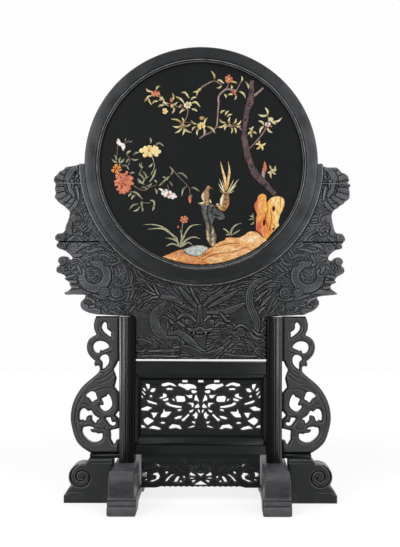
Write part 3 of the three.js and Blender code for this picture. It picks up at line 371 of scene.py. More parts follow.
def carved(name, relief, loops, front, back, rounds, body, look, both=False, levels=(), extra=(), tint=None,
           wear_and_light=0.22):
    """A board whose face follows the relief, cut to its outline. rounds are (segments, radius)
    pairs, levels are (y, push) pairs that groove the side walls where they face the disc, and extra are
    boxes in the same piece.
    tint gives a value for each place, and the last argument is how far the rounded edges are brightened,
    as rubbed wear and as a painted highlight."""
    segments = segments_of(loops)
    ends = segments.reshape(-1, 2)
    (rows, columns), x, z = relief.window(ends.min(0) - 2 * relief.step, ends.max(0) + 2 * relief.step)
    depth_in = distance_to(x, z, segments) * np.where(inside_of(x, z, segments), 1.0, -1.0)
    mean = depth_in[:-1, :-1] + depth_in[1:, :-1] + depth_in[:-1, 1:] + depth_in[1:, 1:]
    cells = without_pinches(mean > 0)
    r, c = np.nonzero(cells)
    wide = x.shape[1]
    quads = np.stack([r * wide + c, r * wide + c + 1, (r + 1) * wide + c + 1, (r + 1) * wide + c], 1)
    used, flat = np.unique(quads, return_inverse=True)
    quads = flat.reshape(quads.shape)
    slope_z, slope_x = np.gradient(depth_in, relief.step)
    px, pz, d, gx, gz = (a.ravel()[used].copy() for a in (x, z, depth_in, slope_x, slope_z))
    edges = np.concatenate([quads[:, [i, (i + 1) % 4]] for i in range(4)])
    count = len(used)
    codes = edges.min(1) * count + edges.max(1)
    _, first, seen = np.unique(codes, return_index=True, return_counts=True)
    border = edges[first[seen == 1]]
    rim = np.unique(border)
    on_rim = np.zeros(count, dtype=bool)
    on_rim[rim] = True
    move = np.where(on_rim | (d < 0), np.clip(d, -relief.step, relief.step), 0.0)
    long = np.maximum(np.hypot(gx, gz), 0.2)
    px -= move * gx / long
    pz -= move * gz / long
    y = front + relief.depth - relief.h[rows, columns].ravel()[used]
    crest = relief.crest()[rows, columns].ravel()[used]
    for part, radius in rounds:
        gap = distance_to(px, pz, part)
        y = y + fillet(gap, radius)
        # The rounded edges' crest is raised: rubbed wear and a painted highlight along them.
        crest = crest + wear_and_light * np.exp(-((gap - 0.4 * radius) / (0.5 * radius)) ** 2)
    places = [np.stack([px, y, pz], 1)]
    faces = [quads]
    crests = [crest]
    if both:
        places.append(np.stack([px, back - (y - front), pz], 1))
        crests.append(crest)
        faces.append(quads[:, ::-1] + count)
        a, b = border[:, 0], border[:, 1]
        faces.append(np.stack([b, a, a + count, b + count], 1))
    else:
        order = np.zeros(count, dtype=int)
        order[rim] = np.arange(len(rim))
        out_x, out_z = px[rim], pz[rim] - DISC_Z
        radius = np.hypot(out_x, out_z)
        seat = np.abs(radius - CRESCENT_RADIUS) < 1.0
        a, b = border[:, 0], border[:, 1]
        total = count
        for level, push in [*levels, (back, 0.0)]:
            grow = 1 + np.where(seat, push, 0.0) / radius
            places.append(np.stack([out_x * grow, np.full(len(rim), level), out_z * grow + DISC_Z], 1))
            crests.append(np.full(len(rim), 0.5))
            next_a, next_b = order[border[:, 0]] + total, order[border[:, 1]] + total
            faces.append(np.stack([b, a, next_a, next_b], 1))
            a, b = next_a, next_b
            total += len(rim)
        start = total - len(rim)
        back_loops = [np.array(loop) for loop in chained([tuple(e) for e in (order[border]).tolist()])]
        flat_places = np.concatenate(places)[start:]
        ids = np.concatenate(back_loops) + start
        cap = ids[filled([flat_places[loop][:, [0, 2]] for loop in back_loops])]
        faces.append(wound(cap, np.concatenate(places)[:, [2, 0]]))
    for box in extra:
        total = sum(len(p) for p in places)
        box_places, box_quads = block(*box, total)
        places.append(box_places)
        faces.append(box_quads)
        crests.append(np.full(8, 0.5))
    whole = np.concatenate(places)
    tints = None if tint is None else tint(whole[:, 0], whole[:, 2] - DISC_Z)
    new_piece(name, whole, faces, body, look, np.concatenate(crests), name, tint=tints)


ROUND_SHARP = 40.0


def softened(loop, cut):
    """Cuts each corner of a closed loop back by a length, twice, so that it reads as rounded."""
    for length in (cut, cut / 2.6):
        rows = []
        for before, p, after in zip(np.roll(loop, 1, 0), loop, np.roll(loop, -1, 0)):
            for other in (before, after):
                away = other - p
                rows.append(p + away * min(length / max(np.hypot(*away), TINY), 0.42))
        loop = np.array(rows)
    return loop


def inset(loop, distance):
    """The closed loop moved inwards, to the left of its direction if it runs counter-clockwise."""
    ahead = np.roll(loop, -1, 0) - loop
    ahead /= np.maximum(np.hypot(ahead[:, 0], ahead[:, 1]), TINY)[:, None]
    behind = np.roll(ahead, 1, 0)
    normal = np.stack([-(ahead[:, 1] + behind[:, 1]), ahead[:, 0] + behind[:, 0]], 1)
    long = np.maximum(np.hypot(normal[:, 0], normal[:, 1]), 0.6)
    return loop + normal / long[:, None] * distance


def area_of(loop):
    return 0.5 * np.sum(loop[:, 0] * np.roll(loop[:, 1], -1) - np.roll(loop[:, 0], -1) * loop[:, 1])


def rounded_prism(name, loop, x0, x1, radius, width_at, body, look, sink):
    """A [y, z] outline carried along X, with rounded edges; width_at(z) narrows it about its middle, and
    between the end faces its points are drawn in along Y by sink."""
    if area_of(loop) < 0:
        loop, sink = loop[::-1], np.flip(sink)
    turns = np.radians(np.linspace(90, 0, 5))
    steps = [(x0 + radius * (1 - math.sin(a)), radius * (1 - math.cos(a))) for a in turns]
    steps += [(x0 + x1 - x, in_by) for x, in_by in reversed(steps)]
    middle = (x0 + x1) / 2
    places = []
    for x, in_by in steps:
        ring = inset(loop, in_by)
        if in_by < radius:
            ring[:, 0] -= np.sign(ring[:, 0]) * sink
        wide = width_at(ring[:, 1])
        places.append(np.stack([middle + (x - middle) * wide, ring[:, 0], ring[:, 1]], 1))
    n = len(loop)
    index = np.arange(n)
    after = (index + 1) % n
    faces = [np.stack([index + k * n, after + k * n, after + (k + 1) * n, index + (k + 1) * n], 1)[:, ::-1]
             for k in range(len(steps) - 1)]
    cap = wound(filled([inset(loop, radius)]), loop)
    faces.append(cap[:, ::-1])
    faces.append(cap + (len(steps) - 1) * n)
    whole = np.concatenate(places)
    ends = np.abs(whole[:, 0] - middle) - (x1 - x0) / 2 * 0.86
    # A brighter crest near the end faces' rounded edges: worn edges and a painted highlight.
    crest = 0.52 + 0.32 * np.exp(-((ends - 1.0) / 1.6) ** 2)
    new_piece(name, whole, faces, body, look, crest, name, ROUND_SHARP)


def turned(name, profile, crest, start, end, steps, body, look, tint, extra=None):
    """Sweeps a closed [radius, y] profile round the disc's axis, in degrees from +X, and any extra one."""
    sweeps = [(profile, crest, start, end, steps)]
    if extra:
        sweeps.append(extra)
    places, faces, crests = [], [], []
    total = 0
    for outline, wear_and_light, begin, finish, count in sweeps:
        outline = np.asarray(outline, float)
        if area_of(outline) < 0:
            outline = outline[::-1]
            wear_and_light = wear_and_light[::-1]
        whole = abs(finish - begin) >= 360
        angles = np.radians(np.linspace(begin, finish, count + 1))[: count if whole else count + 1]
        n = len(outline)
        for angle in angles:
            places.append(np.stack([outline[:, 0] * math.cos(angle), outline[:, 1],
                                    DISC_Z + outline[:, 0] * math.sin(angle)], 1))
            crests.append(np.asarray(wear_and_light, float))
        index = np.arange(n)
        after = (index + 1) % n
        for k in range(count):
            a, b = total + k * n, total + (k + 1) % len(angles) * n
            faces.append(np.stack([index + a, after + a, after + b, index + b], 1))
        if not whole:
            cap = wound(filled([outline]), outline)
            faces.append(cap[:, ::-1] + total)
            faces.append(cap + total + (len(angles) - 1) * n)
        total += n * len(angles)
    whole = np.concatenate(places)
    tints = tint(whole[:, 0], whole[:, 2] - DISC_Z)
    new_piece(name, whole, faces, body, look, np.concatenate(crests), name, ROUND_SHARP, tints)


# Materials


def new_material(name):
    material = bpy.data.materials.new(name)
    material.use_nodes = True
    tree = material.node_tree
    return material, tree, tree.nodes["Principled BSDF"]


def feed(tree, socket, value):
    """Links an input to another node's output, or sets it to a number, a vector or a colour."""
    if isinstance(value, bpy.types.NodeSocket):
        tree.links.new(value, socket)
    else:
        socket.default_value = (*value, 1.0) if socket.type == "RGBA" else value


def added(tree, kind, values=None, **settings):
    """A new node with its settings, and its inputs fed by name or number."""
    node = tree.nodes.new(kind)
    for key, value in settings.items():
        setattr(node, key, value)
    for key, value in (values or {}).items():
        feed(tree, node.inputs[key], value)
    return node


def attribute(tree, name):
    return added(tree, "ShaderNodeAttribute", attribute_name=name).outputs["Fac"]


def calculated(tree, operation, *values):
    return added(tree, "ShaderNodeMath", dict(enumerate(values)), operation=operation).outputs["Value"]


def multiplied(tree, first, second):
    return calculated(tree, "MULTIPLY", first, second)


def noise(tree, coords, scale, detail=4.0, roughness=0.55, distortion=0.0):
    values = {"Vector": coords, "Scale": scale, "Detail": detail, "Roughness": roughness,
              "Distortion": distortion}
    return added(tree, "ShaderNodeTexNoise", values).outputs["Fac"]


def mapped(tree, value, low, high, to_low, to_high):
    values = {"Value": value, "From Min": low, "From Max": high, "To Min": to_low, "To Max": to_high}
    return added(tree, "ShaderNodeMapRange", values).outputs["Result"]


def ramp(tree, factor, stops):
    node = added(tree, "ShaderNodeValToRGB", {"Fac": factor})
    while len(node.color_ramp.elements) < len(stops):
        node.color_ramp.elements.new(0.5)
    for element, (place, colour) in zip(node.color_ramp.elements, stops):
        element.position = place
        element.color = (*colour, 1.0)
    return node.outputs["Color"]


def mixed(tree, factor, first, second, blend="MIX"):
    node = added(tree, "ShaderNodeMix", data_type="RGBA", blend_type=blend)
    ends = {"Factor_Float": factor, "A_Color": first, "B_Color": second}
    for socket in node.inputs:
        if socket.identifier in ends:
            feed(tree, socket, ends[socket.identifier])
    return next(s for s in node.outputs if s.identifier == "Result_Color")


def stretched(tree, scale=(1.0, 1.0, 1.0), turn=(0.0, 0.0, 0.0)):
    place = added(tree, "ShaderNodeTexCoord").outputs["Object"]
    values = {"Vector": place, "Scale": scale, "Rotation": turn}
    return added(tree, "ShaderNodeMapping", values).outputs["Vector"]


def split(tree, vector):
    return added(tree, "ShaderNodeSeparateXYZ", {"Vector": vector}).outputs


def bump(tree, shader, height, strength, distance):
    node = added(tree, "ShaderNodeBump", {"Height": height, "Strength": strength, "Distance": distance})
    tree.links.new(node.outputs["Normal"], shader.inputs["Normal"])


WOOD_DARK = (0.0032, 0.0042, 0.0045)
WOOD_LIGHT = (0.0085, 0.0102, 0.0112)
# Grey of worn crests, which also serves as a painted highlight on them
WOOD_WEAR_AND_HIGHLIGHT = (0.23, 0.235, 0.24)
# Colour of the pores, which also serves as painted shade in recesses
WOOD_PORES_AND_SHADE = (0.0010, 0.0013, 0.0014)
# Grey of dust, which also serves as painted sheen on the ring and painted side light on the cradle's wings
DUST_AND_SHEEN = (0.124, 0.13, 0.142)
RING_LIGHT = (0.0055, 0.0068, 0.0078)
CARVED_LIGHT = (0.011, 0.0125, 0.0125)


RECESS_EDGE = 0.143
RECESS_BLUR = 0.002
RECESS_DULL = (0.8, 0.8, 0.8)
COAT_ROUGHNESS = 0.24


def wood(name, grain, roughness=(0.32, 0.46), carved_look=False, dust=0.0, light=WOOD_LIGHT, coat=0.1,
         sheen_and_dust=0.0, specular=0.4, painted_recess_shade=False):
    """Waxed dark hardwood. A carved one has painted shade where it is cut in and is grey on its crests, as
    wear and as a painted highlight; a dusty one is grey on top; a sheen-and-dust one is greyed by its tint,
    as painted sheen on the ring and as dust with painted side light on the cradle; and one with painted
    recess shade is darkened and dulled on the posts' inner halves."""
    material, tree, shader = new_material(name)
    along = stretched(tree, grain)
    even = stretched(tree)
    colour = ramp(tree, noise(tree, along, 46.0, 8.0, 0.6, 0.4), [(0.32, WOOD_DARK), (0.68, light)])
    cloudy = mapped(tree, noise(tree, even, 9.0, 4.0, 0.6), 0.35, 0.7, 0.0, 0.55)
    colour = mixed(tree, cloudy, colour, light)
    pores = noise(tree, stretched(tree, tuple(7.0 * g for g in grain)), 60.0, 2.0)
    colour = mixed(tree, mapped(tree, pores, 0.56, 0.7, 0.0, 0.6), colour, WOOD_PORES_AND_SHADE)
    # The tint greys the wood: painted sheen on the ring, and dust with painted side light on the cradle's
    # wings.
    if sheen_and_dust:
        spread = mapped(tree, noise(tree, even, 24.0, 5.0), 0.35, 0.65, 0.35, 1.0)
        grey = multiplied(tree, multiplied(tree, attribute(tree, "tint"), sheen_and_dust), spread)
        colour = mixed(tree, grey, colour, DUST_AND_SHEEN)
    if carved_look:
        # Painted shade darkens the cut-in places; the crests go grey as wear and as a painted highlight.
        crest = attribute(tree, "crest")
        patchy = mapped(tree, noise(tree, even, 60.0, 3.0), 0.3, 0.7, 0.35, 1.0)
        colour = mixed(tree, mapped(tree, crest, 0.44, 0.06, 0.0, 0.9), colour, WOOD_PORES_AND_SHADE)
        wear_and_light = mapped(tree, crest, 0.62, 0.98, 0.0, 0.9)
        colour = mixed(tree, multiplied(tree, wear_and_light, patchy), colour, WOOD_WEAR_AND_HIGHLIGHT)
    if dust:
        up = split(tree, added(tree, "ShaderNodeNewGeometry").outputs["Normal"])["Z"]
        patchy = mapped(tree, noise(tree, even, 34.0, 5.0), 0.3, 0.66, 0.25, 1.0)
        colour = mixed(tree, multiplied(tree, mapped(tree, up, 0.25, 0.95, 0.0, dust), patchy), colour, DUST_AND_SHEEN)
        rubbed = mapped(tree, noise(tree, even, 18.0, 6.0, 0.7), 0.5, 0.72, 0.0, 0.22)
        colour = mixed(tree, rubbed, colour, DUST_AND_SHEEN)
    dull = mapped(tree, noise(tree, even, 16.0, 5.0), 0.3, 0.7, *roughness)
    gloss = {"Specular IOR Level": specular, "Coat Weight": coat, "Coat Roughness": COAT_ROUGHNESS}
    for key, value in gloss.items():
        shader.inputs[key].default_value = value
    # Painted shade: the posts' inner halves are darkened and dulled as if shadowed in a recess.
    if painted_recess_shade:
        apart = calculated(tree, "ABSOLUTE", split(tree, even)["X"])
        sunk = mapped(tree, apart, RECESS_EDGE, RECESS_EDGE + RECESS_BLUR, 1.0, 0.0)
        colour = mixed(tree, sunk, colour, WOOD_PORES_AND_SHADE)
        dull = mixed(tree, sunk, dull, RECESS_DULL)
        tree.links.new(mapped(tree, sunk, 0.0, 1.0, specular, 0.12), shader.inputs["Specular IOR Level"])
        tree.links.new(mapped(tree, sunk, 0.0, 1.0, coat, 0.06), shader.inputs["Coat Weight"])
    tree.links.new(colour, shader.inputs["Base Color"])
    tree.links.new(dull, shader.inputs["Roughness"])
    bump(tree, shader, noise(tree, along, 210.0, 4.0), 0.2, 0.0005)
    return material


TINT_SHARE = 0.5
CLOUD_SPREAD = 0.24


def grey(level):
    return (level, level, level)


def stone(name, colours, scale, grain=(1.0, 1.0, 1.0), turn=(0.0, 0.0, 0.0), roughness=0.32, veins=None):
    """Polished hardstone: a cloudy ground of several colours, fine mottling and, if given, veins."""
    material, tree, shader = new_material(name)
    coords = stretched(tree, grain, turn)
    cloudy = noise(tree, coords, scale, 6.0, 0.6, 1.2)
    shifted = calculated(tree, "MULTIPLY_ADD", attribute(tree, "tint"), TINT_SHARE, cloudy)
    middle = 0.5 + TINT_SHARE / 2
    places = np.linspace(middle - CLOUD_SPREAD, middle + CLOUD_SPREAD, len(colours)).tolist()
    colour = ramp(tree, shifted, list(zip(places, colours)))
    speck = noise(tree, stretched(tree), 420.0, 3.0, 0.6)
    colour = mixed(tree, 1.0, colour, ramp(tree, speck, [(0.3, grey(0.72)), (0.6, grey(1.0))]), "MULTIPLY")
    if veins:
        line = noise(tree, coords, scale * 1.7, 4.0, 0.5, 2.0)
        share = ramp(tree, line, [(0.46, grey(0.0)), (0.5, grey(0.85)), (0.54, grey(0.0))])
        colour = mixed(tree, share, colour, veins)
    # Painted shade: darkened where the crest is low, in crevices and at the stones' edges.
    sunk = mapped(tree, attribute(tree, "crest"), 0.46, 0.1, 0.0, 0.75)
    colour = mixed(tree, sunk, colour, tuple(0.22 * value for value in colours[0]))
    tree.links.new(colour, shader.inputs["Base Color"])
    shader.inputs["Roughness"].default_value = roughness
    bump(tree, shader, speck, 0.12, 0.0004)
    return material


UPRIGHT_GRAIN = (3.0, 3.0, 0.4)
FOOT_GRAIN = (0.5, 3.0, 3.0)
BOARD_GRAIN = (0.5, 3.0, 2.4)
WOODS = {
    "plain_wood": dict(grain=UPRIGHT_GRAIN, roughness=(0.24, 0.34), specular=0.12),
    "post_wood": dict(grain=UPRIGHT_GRAIN, roughness=(0.17, 0.26), specular=0.42, painted_recess_shade=True, coat=0.6),
    "level_wood": dict(grain=(0.4, 3.0, 3.0), roughness=(0.24, 0.34), specular=0.1),
    "ring_wood": dict(grain=(1.6, 1.6, 0.5), roughness=(0.24, 0.36), carved_look=True, light=RING_LIGHT,
                      specular=0.12, coat=0.2, sheen_and_dust=0.5),
    "carved_wood": dict(grain=BOARD_GRAIN, carved_look=True, dust=0.3, light=CARVED_LIGHT, sheen_and_dust=0.85,
                        specular=0.15),
    "panel_wood": dict(grain=BOARD_GRAIN, carved_look=True, light=(0.006, 0.0075, 0.0077), specular=0.12,
                       coat=0.05),
    "scroll_wood": dict(grain=FOOT_GRAIN, carved_look=True, dust=0.5, specular=0.25),
    "bracket_wood": dict(grain=(3.0, 3.0, 0.5), roughness=(0.3, 0.4), carved_look=True, coat=0.25),
    "foot_wood": dict(grain=FOOT_GRAIN, roughness=(0.4, 0.54), carved_look=True, dust=0.9, specular=0.22,
                      light=(0.05, 0.048, 0.055), coat=0.06),
    "black_ground": dict(grain=(3.0, 3.0, 0.3), roughness=(0.34, 0.46), light=(0.0026, 0.0031, 0.0034),
                         coat=0.0, specular=0.13),
}
ROCK_LEAN = (0.0, math.radians(28.0), 0.0)
STONES = {
    # Slot, colours from dark to light, how fine its clouds are, then grain, its turn, roughness and veins
    "leaf": ("green_stone", [(0.12, 0.09, 0.035), (0.5, 0.41, 0.16), (0.8, 0.7, 0.38), (0.93, 0.87, 0.63)],
             90.0),
    "sage": ("green_stone", [(0.06, 0.07, 0.045), (0.22, 0.22, 0.13), (0.42, 0.41, 0.26),
                             (0.68, 0.62, 0.42)], 80.0),
    "bark": ("brown_stone", [(0.09, 0.045, 0.04), (0.25, 0.15, 0.14), (0.42, 0.3, 0.27)], 90.0),
    "trunk": ("brown_stone", [(0.022, 0.009, 0.012), (0.09, 0.032, 0.034), (0.2, 0.095, 0.09),
                              (0.4, 0.27, 0.26)],
              150.0, (1.8, 1.0, 0.8), (0.0, 0.0, 0.0), 0.4),
    "coral": ("red_stone", [(0.34, 0.05, 0.018), (0.58, 0.15, 0.06), (0.74, 0.29, 0.15)], 110.0),
    "orange": ("red_stone", [(0.58, 0.13, 0.02), (0.76, 0.26, 0.05), (0.85, 0.44, 0.13)], 110.0),
    "yellow": ("amber_stone", [(0.62, 0.3, 0.06), (0.84, 0.64, 0.24), (0.9, 0.8, 0.46)], 80.0),
    "white": ("white_stone", [(0.62, 0.34, 0.32), (0.86, 0.76, 0.72), (0.93, 0.9, 0.86)], 80.0),
    "cream": ("cream_stone", [(0.5, 0.4, 0.16), (0.76, 0.68, 0.4), (0.9, 0.85, 0.66)], 90.0),
    "ochre": ("brown_stone", [(0.16, 0.07, 0.03), (0.46, 0.25, 0.09), (0.74, 0.52, 0.26)], 110.0),
    "scholar_amber": ("amber_stone",
                      [(0.58, 0.09, 0.01), (0.82, 0.3, 0.03), (0.86, 0.47, 0.08), (0.93, 0.72, 0.3)],
                      30.0, (1.0, 1.0, 0.5), ROCK_LEAN, 0.26, (0.4, 0.07, 0.012)),
    "ground_amber": ("amber_stone", [(0.42, 0.12, 0.03), (0.78, 0.33, 0.085), (0.86, 0.5, 0.2),
                                     (0.92, 0.73, 0.46)],
                     34.0, (0.5, 1.0, 1.4), ROCK_LEAN, 0.28, (0.44, 0.15, 0.04)),
    "pillar": ("green_stone", [(0.01, 0.015, 0.014), (0.04, 0.05, 0.042), (0.2, 0.13, 0.05),
                               (0.66, 0.52, 0.26)],
               70.0),
    "blue": ("blue_stone", [(0.2, 0.24, 0.22), (0.46, 0.5, 0.46), (0.78, 0.77, 0.68)], 70.0),
    "tail": ("cream_stone", [(0.34, 0.12, 0.03), (0.8, 0.42, 0.12), (0.93, 0.74, 0.44)], 70.0),
}
MATERIALS = {name: wood(name, **values) for name, values in WOODS.items()}
MATERIALS.update({name: stone(name, *values) for name, (_, *values) in STONES.items()})
SLOT_OF_LOOK = {**dict.fromkeys(WOODS, "dark_wood"), **{name: row[0] for name, row in STONES.items()}}
LOOK_OF_SLOT = {
    "dark_wood": "plain_wood", "black_ground": "black_ground", "red_stone": "coral", "amber_stone": "yellow",
    "cream_stone": "cream", "green_stone": "leaf", "brown_stone": "trunk", "blue_stone": "blue",
    "white_stone": "white",
}
slot_of = {row["node"]: row["material_slot"] for row in frame["record"]["subparts"]}
POSTS = ("left_post", "right_post")
LEVEL_NODES = ("upper_rail", "lower_rail", "frame_head", "frame_sill", "left_bracket_plinth",
               "right_bracket_plinth")


def look_of(node):
    if node in LEVEL_NODES:
        return "level_wood"
    return "post_wood" if node in POSTS else LOOK_OF_SLOT[slot_of[node]]


for node in frame["nodes"]:
    item = bpy.data.objects[node]
    item.data.materials.clear()
    item.data.materials.append(MATERIALS[look_of(node)])

EASING = 0.8
EASED_FROM_ANGLE = math.radians(38)


def eased(node):
    """Softens a plain node's edges with modifiers, its mesh left as it is."""
    item = bpy.data.objects[node]
    weld = item.modifiers.new("weld", "WELD")
    weld.merge_threshold = FLAT_WITHIN * MM
    bevel = item.modifiers.new("bevel", "BEVEL")
    bevel.width = EASING * MM
    bevel.segments = 2
    bevel.limit_method = "ANGLE"
    bevel.angle_limit = EASED_FROM_ANGLE
    bevel.harden_normals = True
    item.data.polygons.foreach_set("use_smooth", [True] * len(item.data.polygons))


for node in (*LEVEL_NODES, *POSTS, "left_frame_stile", "right_frame_stile", "back_panel"):
    eased(node)


# Disc: ring and sight bead. Profiles are [radius, y] points

GLUE_GAP = 0.2
BEAD_WIDTH = 7.0
RIB_STOP = 6.0
SEGMENT_JOINT = 0.04


def painted_side_sheen(x):
    """How much painted sheen greys the ring towards its sides, more than at its foot."""
    return (np.abs(x) / DISC_RADIUS) ** 2.5


def make_ring():
    inner = PANEL_RADIUS + GLUE_GAP
    back = -DISC_FRONT
    easing = 1.8
    crown = 0.6
    lip = 1.5
    face = [(inner + lip + t * (DISC_RADIUS - easing - inner - lip), DISC_FRONT + crown * (2 * t - 1) ** 2)
            for t in np.linspace(0, 1, 11)]
    profile = [(inner, DISC_FRONT + 2.4), (inner + 0.5, DISC_FRONT + 1.4), *face,
               *ring_points(DISC_RADIUS - easing, DISC_FRONT + easing + crown, easing, 285, 360, 5),
               *ring_points(DISC_RADIUS - easing, back - easing, easing, 0, 90, 6), (inner, back)]
    # A brighter crest along the front of the outer rounded edge: a painted highlight line, with some wear.
    crest = [0.72 if DISC_RADIUS - easing < r < DISC_RADIUS - 0.2 and y < 0 else 0.55 for r, y in profile]
    foot, top = DISC_RADIUS - 1, DISC_RADIUS + RIB_HEIGHT
    rib = [(foot, -RIB_HALF), (top, -RIB_HALF), (top, RIB_HALF), (foot, RIB_HALF)]
    quarters = {
        "ring_segment_right": (-45, 45, (-45, -RIB_STOP)),
        "ring_segment_top": (45, 135, None),
        "ring_segment_left": (135, 225, (180 + RIB_STOP, 225)),
        "ring_segment_bottom": (225, 315, (225, 315)),
    }
    for name, (start, end, ribbed) in quarters.items():
        extra = None
        if ribbed:
            extra = (rib, [0.5] * 4, ribbed[0] + SEGMENT_JOINT, ribbed[1] - SEGMENT_JOINT, 40)
        # The ring's tint: painted sheen towards its sides, and painted light growing towards its top.
        turned(name, profile, crest, start + SEGMENT_JOINT, end - SEGMENT_JOINT, 60, "disc", "ring_wood",
               lambda x, z: painted_side_sheen(x) + 0.25 * np.clip(z / DISC_RADIUS, 0, 1), extra)


def make_bead():
    low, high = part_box("sight_bead")
    outer = (high.z - low.z) / 2 / MM
    inner = outer - BEAD_WIDTH + GLUE_GAP
    back = high.y / MM
    flush = DISC_FRONT + 0.35
    outer_bead, inner_bead, sunk = 1.1, 0.7, 3.4
    profile = [(inner, back),
               *ring_points(inner + inner_bead, flush + sunk, inner_bead, 180, 360, 7),
               (inner + 2.6, flush + sunk - 0.4), (inner + 3.3, flush + 1.9),
               *ring_points(inner + 4.6, flush + outer_bead, outer_bead, 190, 350, 8),
               (inner + 5.9, flush + 0.8), (inner + 6.3, flush + 0.1), (outer, flush), (outer, back)]
    # Painted highlights on both bead crests, the outer one brightest, and painted shade in the channel
    # between them.
    crest = [0.4] + [0.84] * 7 + [0.16, 0.16] + [1.0] * 8 + [0.36, 0.5, 0.5, 0.4]
    turned("sight_bead", profile, crest, 0, 360, 240, "disc", "ring_wood", lambda x, z: 0.3 * painted_side_sheen(x))


make_ring()
make_bead()


# Inlays: domed stones that stand on the ground panel. Their points are [right, up] from the disc's centre

SUNK = 0.4
STONE_HEIGHT = 4.6


def leaf_shape(along):
    return 0.04 + 0.96 * np.sin(math.pi * along**0.8) ** 0.8


def petal_shape(along):
    return (0.12 + 0.88 * along**0.8) * np.sqrt(1 - 0.97 * along**6)


def oval_shape(along):
    return np.sqrt(1 - 0.98 * (2 * along - 1) ** 2)


def tapered(first, last):
    return lambda along: (first + (last - first) * along) / max(first, last)


GOLDEN_ANGLE = math.pi * (3 - math.sqrt(5))


